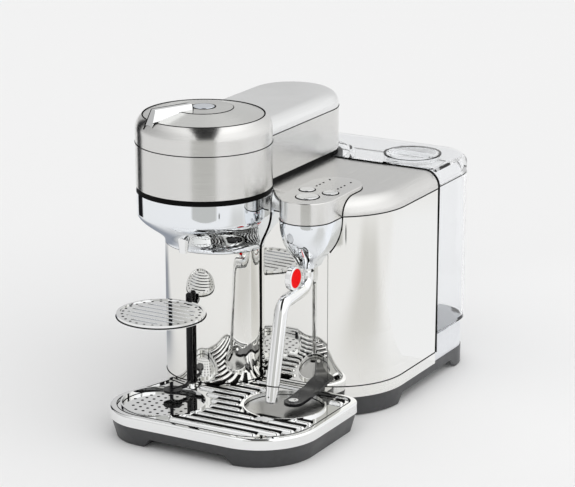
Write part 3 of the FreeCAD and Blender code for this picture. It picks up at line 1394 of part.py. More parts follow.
def jug_dish():
    """Return the round plate the milk jug stands on, with a drain slot at its front."""
    centre = V(JUG_X, JUG_Y, 0)
    top = DISH_SEAT + DISH_PLATE
    plate = cylinder(centre, JUG_RADIUS - LOOSE_GAP, DISH_SEAT, top)
    front = JUG_Y - JUG_RADIUS + 2 * DRAIN_RADIUS + DISH_LEDGE
    left = JUG_X - DRAIN_SPREAD
    right = JUG_X + DRAIN_SPREAD
    drain = [cylinder(V(x, front, 0), DRAIN_RADIUS, DISH_SEAT - LAP, top + LAP) for x in (left, right)]
    drain.append(block(left, right, front - DRAIN_RADIUS, front + DRAIN_RADIUS,
                       DISH_SEAT - LAP, top + LAP))
    return plate.cut(fuse_all(drain))


# Cup support
def cup_post():
    """Return the black post that turns in the deck, with its foot and the bracket under the cup rest."""
    centre = V(HEAD_X, POST_Y, 0)
    base = POST_BOSS_TOP + LOOSE_GAP
    shaft = cylinder(centre, POST_RADIUS, base, POST_TOP)
    shaft = shaft.makeFillet(POST_CROWN, edges_at(shaft, POST_TOP))
    pin = cylinder(centre, POST_PIN_RADIUS, base - POST_PIN_DEPTH, base + LAP)
    bracket = block(HEAD_X - POST_BRACKET_HALF, HEAD_X + POST_BRACKET_HALF,
                    POST_Y - CUP_DISC_GAP - POST_BRACKET_LAP, POST_Y,
                    CUP_DISC_BOTTOM - POST_BRACKET_HEIGHT, CUP_DISC_BOTTOM)
    pad_y = POST_Y - FOOT_PAD_REACH
    arm = pipe([
        V(HEAD_X, POST_Y, FOOT_ARM_HEIGHT),
        V(HEAD_X + FOOT_ARM_SWAY, POST_Y - FOOT_PAD_REACH / 2, FOOT_ARM_HEIGHT),
        V(HEAD_X, pad_y, FOOT_ARM_HEIGHT),
    ], FOOT_ARM_SWAY, FOOT_ARM_RADIUS)
    low = FOOT_ARM_HEIGHT - FOOT_PAD_THICKNESS / 2
    pad = cylinder(V(HEAD_X, pad_y, 0), FOOT_PAD_RADIUS, low, low + FOOT_PAD_THICKNESS)
    return fuse_all([shaft, pin, bracket, arm, pad])


def cup_disc():
    """Return the round cup rest with slots, edge holes and a raised rim."""
    centre = V(HEAD_X, CUP_DISC_Y, 0)
    top = CUP_DISC_BOTTOM + CUP_DISC_THICKNESS
    disc = cylinder(centre, CUP_DISC_RADIUS, CUP_DISC_BOTTOM, top)
    rim = tube(centre, CUP_DISC_RADIUS, CUP_DISC_RADIUS - CUP_RIM_WIDTH, top - LAP, top + CUP_RIM_PROUD)
    disc = fuse_all([disc, rim])
    cutters = []
    reach = CUP_DISC_RADIUS - CUP_SLOT_MARGIN
    rows = int(reach / CUP_SLOT_PITCH)
    for row in range(-rows, rows + 1):
        half = math.sqrt(reach ** 2 - (row * CUP_SLOT_PITCH) ** 2)
        y = centre.y + row * CUP_SLOT_PITCH
        cutters.append(block(HEAD_X - half, HEAD_X + half, y - CUP_SLOT_WIDTH / 2, y + CUP_SLOT_WIDTH / 2,
                             CUP_DISC_BOTTOM - LAP, top + LAP))
    for index in range(CUP_HOLE_COUNT):
        angle = (index + 0.5) * 2 * math.pi / CUP_HOLE_COUNT
        spread = CUP_DISC_RADIUS - CUP_HOLE_INSET
        place = centre + V(math.cos(angle), math.sin(angle), 0) * spread
        cutters.append(cylinder(place, CUP_HOLE_RADIUS, CUP_DISC_BOTTOM - LAP, top + LAP))
    return disc.cut(Part.makeCompound(cutters))


# Water tank
def tank_outline(shrink):
    """Return the plan of the tank, shrunk by a distance."""
    front = REAR_FACE_Y + TRIM_GAP + shrink
    return rounded_outline([
        (LEFT_X + shrink, front, TANK_FRONT_RADIUS - shrink / 2),
        (RIGHT_X - shrink, front, TANK_FRONT_RADIUS - shrink / 2),
        (RIGHT_X - shrink, REAR_Y - shrink, TANK_CORNER_RADIUS - shrink),
        (LEFT_X + shrink, REAR_Y - shrink, TANK_CORNER_RADIUS - shrink),
    ])


def tank_solid(shrink, bottom, top):
    """Return the tank as a block with the round notch for the hinge tower."""
    notch = cylinder(V(HEAD_X, ARM_END_Y, 0), TANK_NOTCH_RADIUS + shrink, bottom - LAP, top + LAP)
    return prism(tank_outline(shrink), bottom, top).cut(notch)


def water_tank():
    """Return the clear tank, open at the top, with a port for the inlet."""
    tank = tank_solid(0.0, TANK_BOTTOM, TANK_LID_BOTTOM)
    tank = tank.cut(tank_solid(TANK_WALL, TANK_BOTTOM + TANK_WALL, TANK_LID_BOTTOM + LAP))
    mouth = V(INLET_X, REAR_FACE_Y, INLET_Z)
    port = Part.makeCylinder(INLET_RADIUS + LID_GAP, TANK_WALL * 4, mouth, V(0, 1, 0))
    return max(tank.cut(port).Solids, key=lambda solid: solid.Volume)


def tank_lid():
    """Return the lid of the tank with a rolled edge and a filling hole."""
    front = REAR_FACE_Y + TRIM_GAP
    lid = prism(rounded_outline([
        (LEFT_X, front, 0), (RIGHT_X, front, 0),
        (RIGHT_X, REAR_Y, TANK_CORNER_RADIUS), (LEFT_X, REAR_Y, TANK_CORNER_RADIUS),
    ]), TANK_LID_BOTTOM, TANK_LID_TOP)
    outer = [edge for edge in edges_at(lid, TANK_LID_TOP) if edge.BoundBox.YMax > front + LAP]
    lid = lid.makeFillet(TANK_LID_ROLL, outer)
    notch = cylinder(V(HEAD_X, ARM_END_Y, 0), TANK_NOTCH_RADIUS, TANK_LID_BOTTOM - LAP, TANK_LID_TOP + LAP)
    lid = lid.cut(notch)
    lid = max(lid.Solids, key=lambda solid: solid.Volume)
    hollow = tank_solid(TANK_LID_STEP, TANK_LID_BOTTOM - LAP, TANK_LID_TOP - 2 * TANK_WALL)
    hollow = max(hollow.Solids, key=lambda solid: solid.Volume)
    hole = cylinder(V(CAP_X, CAP_Y, 0), CAP_RADIUS - CAP_FLANGE, TANK_LID_BOTTOM - LAP, TANK_LID_TOP + LAP)
    return lid.cut(hollow).cut(hole)


def fill_cap():
    """Return the round filling cap with a grip bar."""
    centre = V(CAP_X, CAP_Y, 0)
    top = TANK_LID_TOP + CAP_PROUD
    plug_radius = CAP_RADIUS - CAP_FLANGE - LID_GAP
    cap = fuse_all([
        cylinder(centre, CAP_RADIUS, TANK_LID_TOP, top),
        cylinder(centre, plug_radius, TANK_LID_TOP - CAP_PLUG, TANK_LID_TOP + CAP_PROUD / 2),
    ])
    cap = cap.makeFillet(CAP_PROUD / 3, edges_at(cap, top))
    well = cylinder(centre, plug_radius - TANK_WALL, top - CAP_GRIP_HEIGHT, top + LAP)
    grip_half = CAP_GRIP_WIDTH / 2
    grip = block(CAP_X - CAP_RADIUS, CAP_X + CAP_RADIUS, CAP_Y - grip_half, CAP_Y + grip_half, 0, DOME_TOP)
    return cap.cut(well.cut(grip))


def tank_dock():
    """Return the stand under the tank, hollow from below."""
    front = REAR_FACE_Y
    outline = rounded_outline([
        (LEFT_X + DOCK_INSET, front, 0), (RIGHT_X - DOCK_INSET, front, 0),
        (RIGHT_X - DOCK_INSET, REAR_Y - DOCK_INSET, TANK_CORNER_RADIUS - DOCK_INSET),
        (LEFT_X + DOCK_INSET, REAR_Y - DOCK_INSET, TANK_CORNER_RADIUS - DOCK_INSET),
    ])
    dock = prism(outline, BAND_BOTTOM, TANK_BOTTOM)
    dock = dock.cut(prism(inset(outline, DOCK_WALL), BAND_BOTTOM - LAP, TANK_BOTTOM - DOCK_WALL))
    start = V(GLAND_X, REAR_Y - 3 * DOCK_WALL, GLAND_Z)
    hole = Part.makeCylinder(GLAND_RADIUS - TANK_WALL, DOCK_WALL * 4, start, V(0, 1, 0))
    return dock.cut(hole)


def water_inlet():
    """Return the spigot on the rear panel that the tank slides onto."""
    ring = Part.makeCylinder(INLET_RADIUS, INLET_REACH, V(INLET_X, REAR_FACE_Y, INLET_Z), V(0, 1, 0))
    bore = Part.makeCylinder(INLET_BORE, INLET_REACH + 2 * LAP, V(INLET_X, REAR_FACE_Y - LAP, INLET_Z),
                             V(0, 1, 0))
    return ring.cut(bore)


def cord_gland():
    """Return the gland at the back where a mains cord would enter."""
    start = V(GLAND_X, REAR_Y - DOCK_INSET, GLAND_Z)
    ring = Part.makeCylinder(GLAND_RADIUS, DOCK_INSET, start, V(0, 1, 0))
    bore = Part.makeCylinder(GLAND_BORE, DOCK_INSET + 2 * LAP, start - V(0, LAP, 0), V(0, 1, 0))
    return ring.cut(bore)


# Pieces inside the body
def pump_axis_z():
    """Return the height of the pump axis."""
    return BAND_BOTTOM + PUMP_SADDLE + PUMP_RADIUS


def water_pump():
    """Return the pump on its saddle, with a nose at each end."""
    along = V(0, 1, 0)
    body = Part.makeCylinder(PUMP_RADIUS, PUMP_LENGTH, V(PUMP_X, PUMP_FRONT_Y, pump_axis_z()), along)
    nose = Part.makeCylinder(PUMP_NOSE_RADIUS, PUMP_LENGTH + 2 * PUMP_NOSE_LENGTH,
                             V(PUMP_X, PUMP_FRONT_Y - PUMP_NOSE_LENGTH, pump_axis_z()), along)
    saddle = block(PUMP_X - PUMP_SADDLE_HALF, PUMP_X + PUMP_SADDLE_HALF, PUMP_FRONT_Y + PUMP_SADDLE,
                   PUMP_FRONT_Y + PUMP_LENGTH - PUMP_SADDLE, BAND_BOTTOM, pump_axis_z() - PUMP_RADIUS / 2)
    return fuse_all([body, nose, saddle])


def thermoblock():
    """Return the finned block that heats water for coffee."""
    x_low, x_high = HEATER_X - HEATER_WIDTH / 2, HEATER_X + HEATER_WIDTH / 2
    y_low, y_high = HEATER_Y - HEATER_DEPTH / 2, HEATER_Y + HEATER_DEPTH / 2
    heater = block(x_low, x_high, y_low, y_high, BAND_BOTTOM, BAND_BOTTOM + HEATER_HEIGHT)
    cuts = []
    level = BAND_BOTTOM + HEATER_FIN_PITCH
    while level < BAND_BOTTOM + HEATER_HEIGHT - HEATER_FIN_PITCH:
        depth = y_low + HEATER_FIN_DEPTH
        cuts.append(block(x_low - LAP, x_high + LAP, y_low - LAP, depth, level, level + HEATER_FIN_GAP))
        level += HEATER_FIN_PITCH
    return heater.cut(Part.makeCompound(cuts))


def steam_boiler():
    """Return the upright boiler that makes steam for the wand."""
    top = BAND_BOTTOM + BOILER_HEIGHT
    boiler = cylinder(V(BOILER_X, BOILER_Y, 0), BOILER_RADIUS, BAND_BOTTOM, top)
    return boiler.makeFillet(BOILER_DOME, edges_at(boiler, top))


def steam_pipe():
    """Return the pipe from the boiler to the back of the funnel."""
    top = BAND_BOTTOM + BOILER_HEIGHT
    return pipe([
        V(BOILER_X, BOILER_Y, top), V(BOILER_X, BOILER_Y, STEAM_PIPE_HEIGHT),
        V(NOSE_X, WALL_Y + STEAM_PIPE_RUN, STEAM_PIPE_HEIGHT),
        V(NOSE_X, WALL_Y + 3 * SHEET, STEAM_PIPE_HEIGHT),
    ], PIPE_BEND, PIPE_RADIUS)


def water_pipes():
    """Return the pipe from the tank inlet to the back of the pump."""
    rear = PUMP_FRONT_Y + PUMP_LENGTH + PUMP_NOSE_LENGTH
    return pipe([
        V(INLET_X, SEAM_Y, INLET_Z), V(INLET_X, (rear + SEAM_Y) / 2, INLET_Z),
        V(PUMP_X, (rear + SEAM_Y) / 2, pump_axis_z()), V(PUMP_X, rear, pump_axis_z()),
    ], PIPE_BEND, PIPE_RADIUS)


def all_nodes():
    """Return every node of the machine by name."""
    room = bowl_room()
    nodes = {
        "base_pan": base_pan(),
        "rubber_feet": rubber_feet(),
        "body_screws": body_screws(),
        "base_trim": base_trim(),
        "column_shell": column_shell(),
        "front_panel": front_panel(room),
        "body_shell": body_shell(),
        "left_panel": left_panel(room),
        "top_plate": top_plate(room),
        "rear_panel": rear_panel(),
        "bowl_shell": bowl_shell(),
        "brew_liner": brew_liner(),
        "capsule_cage": capsule_cage(),
        "drive_shaft": drive_shaft(),
        "motor_stator": motor_stator(),
        "shaft_bearings": shaft_bearings(),
        "coffee_spout": coffee_spout(),
        "head_ring": head_ring(),
        "head_frame": head_frame(),
        "head_cap": head_cap(),
        "arm_cover": arm_cover(),
        "injection_head": injection_head(),
        "head_gasket": head_gasket(),
        "hinge_tower": hinge_tower(),
        "hinge_pin": hinge_pin(),
        "lock_disc": lock_disc(),
        "lock_lever": lock_lever(),
        "bayonet_ring": bayonet_ring(),
        "brew_button": brew_button(),
        "panel_cap": panel_cap(),
        "panel_lights": panel_lights(),
        "control_board": control_board(),
        "steam_funnel": steam_funnel(),
        "wand_tube": wand_tube(),
        "wand_tip": wand_tip(),
        "lift_tab": lift_tab(),
        "tab_insert": tab_insert(),
        "sensor_arm": sensor_arm(),
        "sensor_button": sensor_button(),
        "tray_skirt": tray_skirt(),
        "tray_rim": tray_rim(),
        "tray_deck": tray_deck(),
        "dish_grid": dish_grid(),
        "jug_dish": jug_dish(),
        "cup_post": cup_post(),
        "cup_disc": cup_disc(),
        "water_tank": water_tank(),
        "tank_lid": tank_lid(),
        "fill_cap": fill_cap(),
        "tank_dock": tank_dock(),
        "water_inlet": water_inlet(),
        "cord_gland": cord_gland(),
        "water_pump": water_pump(),
        "thermoblock": thermoblock(),
        "steam_boiler": steam_boiler(),
        "steam_pipe": steam_pipe(),
        "water_pipes": water_pipes(),
    }
    for name, centre, radius in key_places():
        nodes[name] = panel_key(centre, radius)
    return nodes


for node_name, node_shape in all_nodes().items():
    node_shape.exportStep("parts/" + node_name + ".step")
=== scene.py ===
"""Dress the pod coffee machine: finishes, painted shade in seams, holes and grooves, tray details, studio light and
camera.
"""

import logging
import math
from dataclasses import dataclass, field
from enum import Enum
from typing import Any, ClassVar, Iterable, Sequence

import bpy
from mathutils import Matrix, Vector

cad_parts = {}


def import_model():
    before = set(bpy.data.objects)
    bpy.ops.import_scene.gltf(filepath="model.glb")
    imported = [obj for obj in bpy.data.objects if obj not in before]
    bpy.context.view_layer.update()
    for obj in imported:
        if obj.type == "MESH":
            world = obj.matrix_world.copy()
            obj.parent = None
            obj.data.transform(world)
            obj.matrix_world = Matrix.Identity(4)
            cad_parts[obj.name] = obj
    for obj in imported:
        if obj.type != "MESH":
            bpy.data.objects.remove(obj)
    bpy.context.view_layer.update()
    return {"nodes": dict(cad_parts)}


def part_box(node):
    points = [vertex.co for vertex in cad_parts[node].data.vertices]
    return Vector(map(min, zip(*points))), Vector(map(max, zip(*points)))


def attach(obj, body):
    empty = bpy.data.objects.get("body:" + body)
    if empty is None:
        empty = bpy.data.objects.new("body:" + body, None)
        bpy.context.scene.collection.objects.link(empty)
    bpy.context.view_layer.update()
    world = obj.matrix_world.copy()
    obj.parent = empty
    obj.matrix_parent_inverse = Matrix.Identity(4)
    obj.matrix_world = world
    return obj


LOG = logging.getLogger("coffee_machine")
MM = 0.001
GRAIN_MAP = "grain"

Colour = tuple[float, float, float]
Spot = tuple[float, float, float]
Flat = tuple[float, float]


# Node trees


class Wiring:
    """Adds and joins nodes in one node tree."""

    def __init__(self, tree: bpy.types.NodeTree) -> None:
        """Keep the tree that this wiring works on."""
        self.tree = tree

    def add(self, kind: str, inputs: dict[Any, Any] | None = None, **settings: Any) -> bpy.types.Node:
        """Add one node.

        Args:
            kind: Blender's name for the node type.
            inputs: Values or source sockets by input name or index.
            **settings: Properties of the node itself.

        Returns:
            The new node.
        """
        node = self.tree.nodes.new(kind)
        for name, value in settings.items():
            setattr(node, name, value)
        for key, value in (inputs or {}).items():
            if isinstance(value, bpy.types.NodeSocket):
                self.tree.links.new(value, node.inputs[key])
            else:
                node.inputs[key].default_value = value
        return node

    def link(self, source: bpy.types.NodeSocket, target: bpy.types.NodeSocket) -> None:
        """Join two sockets."""
        self.tree.links.new(source, target)

    def math(self, operation: str, first: Any, second: Any = 0.0) -> bpy.types.NodeSocket:
        """Return the result socket of one arithmetic node."""
        return self.add("ShaderNodeMath", {0: first, 1: second}, operation=operation).outputs[0]

    def vector(self, operation: str, first: Any, second: Any = (0.0, 0.0, 0.0)) -> bpy.types.NodeSocket:
        """Return the result socket of one vector node."""
        node = self.add("ShaderNodeVectorMath", {0: first, 1: second}, operation=operation)
        return node.outputs["Value" if operation == "DOT_PRODUCT" else "Vector"]

    def ramp(self, source: bpy.types.NodeSocket, stops: Sequence[tuple[float, Colour]]) -> bpy.types.NodeSocket:
        """Add a colour ramp.

        Args:
            source: The value that drives the ramp.
            stops: Place and colour of each stop.

        Returns:
            The colour output of the ramp.
        """
        node = self.add("ShaderNodeValToRGB", {"Fac": source})
        elements = node.color_ramp.elements
        while len(elements) < len(stops):
            elements.new(1.0)
        for element, (place, colour) in zip(elements, stops):
            element.position = place
            element.color = (*colour, 1.0)
        return node.outputs["Color"]


class ShaderGroups:
    """Builds the shared shader groups once and hands them out."""

    def __init__(self) -> None:
        """Build the three groups."""
        self.marks = self._marks()
        self.grain = self._grain()
        self.spun = self._spun()

    @staticmethod
    def _shell(name: str, inputs: Sequence[str]) -> tuple[Wiring, bpy.types.Node, bpy.types.Node]:
        """Start a group with a vector input, number inputs and one value output.

        Args:
            name: The name of the group.
            inputs: The names of its number inputs.

        Returns:
            The wiring of the group, its input node and its output node.
        """
        tree = bpy.data.node_groups.new(name, "ShaderNodeTree")
        tree.interface.new_socket(name="Vector", in_out="INPUT", socket_type="NodeSocketVector")
        for label in inputs:
            tree.interface.new_socket(name=label, in_out="INPUT", socket_type="NodeSocketFloat")
        tree.interface.new_socket(name="Value", in_out="OUTPUT", socket_type="NodeSocketFloat")
        wiring = Wiring(tree)
        return wiring, wiring.add("NodeGroupInput"), wiring.add("NodeGroupOutput")

    def _marks(self) -> bpy.types.NodeTree:
        """Return the group for faint smears left by wiping."""
        wiring, source, result = self._shell("wipe_marks", ("Scale", "Low", "High"))
        broad = wiring.add("ShaderNodeTexNoise", {
            "Vector": source.outputs["Vector"], "Scale": source.outputs["Scale"], "Detail": 5.0})
        spread = wiring.add("ShaderNodeMapRange", {
            "Value": broad.outputs["Fac"], "From Min": 0.3, "From Max": 0.7,
            "To Min": source.outputs["Low"], "To Max": source.outputs["High"]})
        wiring.link(spread.outputs["Result"], result.inputs["Value"])
        return wiring.tree

    def _grain(self) -> bpy.types.NodeTree:
        """Return the group for straight brushing: fine across the grain and long along it."""
        wiring, source, result = self._shell("straight_brushing", ("Rate X", "Rate Y", "Rate Z"))
        scale = wiring.add("ShaderNodeCombineXYZ", {
            "X": source.outputs["Rate X"], "Y": source.outputs["Rate Y"], "Z": source.outputs["Rate Z"]})
        stretched = wiring.vector("MULTIPLY", source.outputs["Vector"], scale.outputs[0])
        noise = wiring.add("ShaderNodeTexNoise", {
            "Vector": stretched, "Scale": 1.0, "Detail": 4.0, "Roughness": 0.65})
        wiring.link(noise.outputs["Fac"], result.inputs["Value"])
        return wiring.tree

    def _spun(self) -> bpy.types.NodeTree:
        """Return the group for brushing made on a turning piece, about the vector's Z axis."""
        wiring, source, result = self._shell("spun_brushing", ("Across", "Along"))
        parts = wiring.add("ShaderNodeSeparateXYZ", {0: source.outputs["Vector"]})
        angle = wiring.math("ARCTAN2", parts.outputs["Y"], parts.outputs["X"])
        squares = wiring.math("ADD", wiring.math("POWER", parts.outputs["X"], 2.0),
                              wiring.math("POWER", parts.outputs["Y"], 2.0))
        radius = wiring.math("SQRT", squares)
        place = wiring.add("ShaderNodeCombineXYZ", {
            "X": wiring.math("MULTIPLY", radius, source.outputs["Across"]),
            "Y": wiring.math("MULTIPLY", angle, source.outputs["Along"]),
            "Z": wiring.math("MULTIPLY", parts.outputs["Z"], source.outputs["Across"])})
        noise = wiring.add("ShaderNodeTexNoise", {
            "Vector": place.outputs[0], "Scale": 1.0, "Detail": 4.0, "Roughness": 0.65})
        wiring.link(noise.outputs["Fac"], result.inputs["Value"])
        return wiring.tree


# Finishes


class Brushing(Enum):
    """How a brushed piece was ground."""

    STRAIGHT = "straight"
    LEVEL = "level"
    SPUN = "spun"


@dataclass(frozen=True)
class Finish:
    """A finish with a name; each kind builds its own material."""

    name: str

    def begin(self) -> tuple[bpy.types.Material, Wiring, bpy.types.Node, bpy.types.NodeSocket]:
        """Return a bare material with its wiring, its main shader and object coordinates."""
        material = bpy.data.materials.new(self.name)
        material.use_nodes = True
        wiring = Wiring(material.node_tree)
        shader = material.node_tree.nodes["Principled BSDF"]
        place = wiring.add("ShaderNodeTexCoord").outputs["Object"]
        return material, wiring, shader, place

    @staticmethod
    def smear(wiring: Wiring, groups: ShaderGroups, place: bpy.types.NodeSocket, shader: bpy.types.Node,
              scale: float, span: Flat) -> None:
        """Let wiped marks vary the roughness.

        Args:
            wiring: The wiring of the material.
            groups: The shared shader groups.
            place: Object coordinates.
            shader: The main shader.
            scale: How many marks to a metre.
            span: The least and the greatest roughness.
        """
        marks = wiring.add("ShaderNodeGroup", node_tree=groups.marks)
        wiring.link(place, marks.inputs["Vector"])
        for label, value in zip(("Scale", "Low", "High"), (scale, *span)):
            marks.inputs[label].default_value = value
        wiring.link(marks.outputs["Value"], shader.inputs["Roughness"])

    def build(self, groups: ShaderGroups) -> bpy.types.Material:
        """Return the material of this finish."""
        raise NotImplementedError


@dataclass(frozen=True)
class Chrome(Finish):
    """Mirror-polished metal with faint smears and a slight ripple of the sheet."""

    tint: Colour = (0.9, 0.905, 0.905)
    roughness: float = 0.015
    ripple: float = 0.0

    def build(self, groups: ShaderGroups) -> bpy.types.Material:
        """Return the polished material."""
        material, wiring, shader, place = self.begin()
        shader.inputs["Base Color"].default_value = (*self.tint, 1.0)
        shader.inputs["Metallic"].default_value = 1.0
        self.smear(wiring, groups, place, shader, 45.0, (self.roughness, self.roughness + 0.035))
        if self.ripple > 0:
            wave = wiring.add("ShaderNodeTexNoise", {"Vector": place, "Scale": 14.0, "Detail": 1.0})
            bump = wiring.add("ShaderNodeBump", {
                "Height": wave.outputs["Fac"], "Strength": 1.0, "Distance": self.ripple})
            wiring.link(bump.outputs["Normal"], shader.inputs["Normal"])
        return material


@dataclass(frozen=True)
class Brushed(Finish):
    """Satin steel with a brushed grain that draws its reflections out across the grain."""

    brushing: Brushing = Brushing.STRAIGHT
    tint: Colour = (0.62, 0.615, 0.6)
    roughness: float = 0.24
    contrast: float = 0.1
    stretch: float = 0.75
    centre: Spot = (0.0, 0.0, 0.0)

    def build(self, groups: ShaderGroups) -> bpy.types.Material:
        """Return the brushed material."""
        material, wiring, shader, place = self.begin()
        shader.inputs["Metallic"].default_value = 1.0
        grain = self._grain(wiring, groups, place)
        low = tuple(shade * (1 - self.contrast) for shade in self.tint)
        wiring.link(wiring.ramp(grain, [(0.3, low), (0.7, self.tint)]), shader.inputs["Base Color"])
        rough = wiring.add("ShaderNodeMapRange", {
            "Value": grain, "From Min": 0.3, "From Max": 0.7,
            "To Min": self.roughness * 0.85, "To Max": self.roughness * 1.15})
        wiring.link(rough.outputs["Result"], shader.inputs["Roughness"])
        bump = wiring.add("ShaderNodeBump", {"Height": grain, "Strength": 0.15, "Distance": 0.02 * MM})
        wiring.link(bump.outputs["Normal"], shader.inputs["Normal"])
        shader.inputs["Anisotropic"].default_value = self.stretch
        shader.inputs["Anisotropic Rotation"].default_value = 0.25
        tangent = wiring.add("ShaderNodeTangent", direction_type="UV_MAP", uv_map=GRAIN_MAP)
        wiring.link(tangent.outputs[0], shader.inputs["Tangent"])
        return material

    def _grain(self, wiring: Wiring, groups: ShaderGroups, place: bpy.types.NodeSocket) -> bpy.types.NodeSocket:
        """Return the grain value for this piece's way of brushing."""
        offset = tuple(-value for value in self.centre)
        centred = wiring.add("ShaderNodeMapping", {"Vector": place, "Location": offset}).outputs[0]
        if self.brushing is Brushing.SPUN:
            node = wiring.add("ShaderNodeGroup", node_tree=groups.spun)
            rates = {"Across": 3200.0, "Along": 2.0}
        else:
            node = wiring.add("ShaderNodeGroup", node_tree=groups.grain)
            across = 12.0 if self.brushing is Brushing.LEVEL else 3200.0
            rates = {"Rate X": across, "Rate Y": 12.0, "Rate Z": 3200.0}
        for label, value in rates.items():
            node.inputs[label].default_value = value
        wiring.link(centred, node.inputs["Vector"])
        return node.outputs["Value"]


@dataclass(frozen=True)
class Moulded(Finish):
    """Opaque plastic or rubber with a fine moulded grain and wiped marks."""

    colour: Colour = (0.02, 0.02, 0.021)
    roughness: float = 0.4
    grain_depth: float = 0.02
    grain_scale: float = 2600.0
    mottle: float = 0.15
    shine: float = 0.5

    def build(self, groups: ShaderGroups) -> bpy.types.Material:
        """Return the plastic material."""
        material, wiring, shader, place = self.begin()
        self.smear(wiring, groups, place, shader, 60.0, (self.roughness * 0.8, self.roughness * 1.1))
        broad = wiring.add("ShaderNodeTexNoise", {"Vector": place, "Scale": 220.0, "Detail": 3.0})
        dark = tuple(shade * (1 - self.mottle) for shade in self.colour)
        wiring.link(wiring.ramp(broad.outputs["Fac"], [(0.35, dark), (0.65, self.colour)]),
                    shader.inputs["Base Color"])
        fine = wiring.add("ShaderNodeTexNoise", {"Vector": place, "Scale": self.grain_scale, "Detail": 2.0})
        bump = wiring.add("ShaderNodeBump", {
            "Height": fine.outputs["Fac"], "Strength": 0.4, "Distance": self.grain_depth * MM})
        wiring.link(bump.outputs["Normal"], shader.inputs["Normal"])
        shader.inputs["Specular IOR Level"].default_value = self.shine
        return material


@dataclass(frozen=True)
class Clear(Finish):
    """Clear moulded plastic, thin enough to bend the view only a little."""

    colour: Colour = (0.985, 0.992, 1.0)
    index: float = 1.08
    coat: float = 0.5

    def build(self, groups: ShaderGroups) -> bpy.types.Material:
        """Return the clear material."""
        material, wiring, shader, place = self.begin()
        shader.inputs["Base Color"].default_value = (*self.colour, 1.0)
        shader.inputs["Transmission Weight"].default_value = 1.0
        shader.inputs["IOR"].default_value = self.index
        shader.inputs["Coat Weight"].default_value = self.coat
        self.smear(wiring, groups, place, shader, 30.0, (0.01, 0.05))
        return material


@dataclass
class Palette:
    """Every finish of the machine, built once."""

    head_centre: Spot
    jug_centre: Spot
    groups: ShaderGroups = field(default_factory=ShaderGroups)
    materials: dict[str, bpy.types.Material] = field(default_factory=dict)

    def __post_init__(self) -> None:
        """Build every material."""
        for finish in self._metals() + self._plastics():
            self.materials[finish.name] = finish.build(self.groups)

    def _metals(self) -> list[Finish]:
        """Return the metal finishes."""
        pale = (0.78, 0.775, 0.76)
        return [
            Chrome("mirror_chrome"),
            Chrome("wall_chrome", (0.89, 0.885, 0.86), ripple=0.05 * MM),
            Chrome("bowl_chrome", (0.88, 0.905, 0.935)),
            Brushed("head_steel", Brushing.LEVEL, pale),
            Brushed("arm_steel", Brushing.LEVEL, (0.9, 0.905, 0.905), 0.2),
            Brushed("dome_steel", Brushing.SPUN, pale, centre=self.head_centre),
            Brushed("disc_steel", Brushing.SPUN, (0.74, 0.74, 0.72), centre=self.head_centre),
            Brushed("button_steel", Brushing.SPUN, (0.8, 0.84, 0.9), 0.16, centre=self.head_centre),
            Brushed("plate_steel", Brushing.STRAIGHT, (0.75, 0.745, 0.73)),
            Brushed("panel_steel", Brushing.STRAIGHT, (0.8, 0.795, 0.78), 0.2),
            Brushed("jug_steel", Brushing.SPUN, (0.5, 0.5, 0.49), centre=self.jug_centre),
        ]

    @staticmethod
    def _plastics() -> list[Finish]:
        """Return the plastic, rubber and cast finishes."""
        return [
            Moulded("gloss_black", (0.006, 0.006, 0.007), 0.12, 0.002, shine=0.2),
            Moulded("seal_black", (0.003, 0.003, 0.003), 0.6, 0.01, shine=0.06),
            # matte black for painted shade in seams, holes and grooves; the panel lights wear it as their own dark
            # colour
            Moulded("shadow_black", (0.004, 0.004, 0.004), 0.8, 0.01, shine=0.05),
            Moulded("satin_grey", (0.045, 0.046, 0.048), 0.42),
            Moulded("sensor_black", (0.008, 0.008, 0.009), 0.2, shine=0.35),
            Moulded("black_rubber", (0.01, 0.01, 0.01), 0.55, 0.03),
            Moulded("gloss_red", (0.95, 0.002, 0.003), 0.35, 0.002, shine=0.03),
            Moulded("cast_metal", (0.45, 0.45, 0.44), 0.5, 0.05, 900.0),
            Moulded("moulded_grey", (0.2, 0.2, 0.21), 0.45),
            Moulded("pale_plastic", (0.74, 0.755, 0.78), 0.4, mottle=0.03),
            Moulded("green_board", (0.01, 0.12, 0.03), 0.35),
            Clear("clear_plastic"),
        ]


# Tools that shape and shade


def new_geometry_tree(name: str, inputs: dict[str, str]) -> tuple[Wiring, bpy.types.Node]:
    """Start a geometry tree with a geometry input, further named inputs and a geometry output.

    Args:
        name: The name of the tree.
        inputs: The socket type of each further input, by name.

    Returns:
        The wiring of the tree and its input node.
    """
    tree = bpy.data.node_groups.new(name, "GeometryNodeTree")
    tree.is_modifier = True
    tree.interface.new_socket(name="Geometry", in_out="INPUT", socket_type="NodeSocketGeometry")
    for label, kind in inputs.items():
        tree.interface.new_socket(name=label, in_out="INPUT", socket_type=kind)
    tree.interface.new_socket(name="Geometry", in_out="OUTPUT", socket_type="NodeSocketGeometry")
    wiring = Wiring(tree)
    return wiring, wiring.add("NodeGroupInput")


def put_on(piece: bpy.types.Object, tree: bpy.types.NodeTree, values: dict[str, Any]) -> None:
    """Add a geometry tree to a piece.

    Args:
        piece: The object that gets the modifier.
        tree: The geometry tree.
        values: The value of each named input.
    """
    modifier = piece.modifiers.new(tree.name, "NODES")
    modifier.node_group = tree
    for item in tree.interface.items_tree:
        if item.in_out == "INPUT" and item.name in values:
            modifier[item.identifier] = values[item.name]


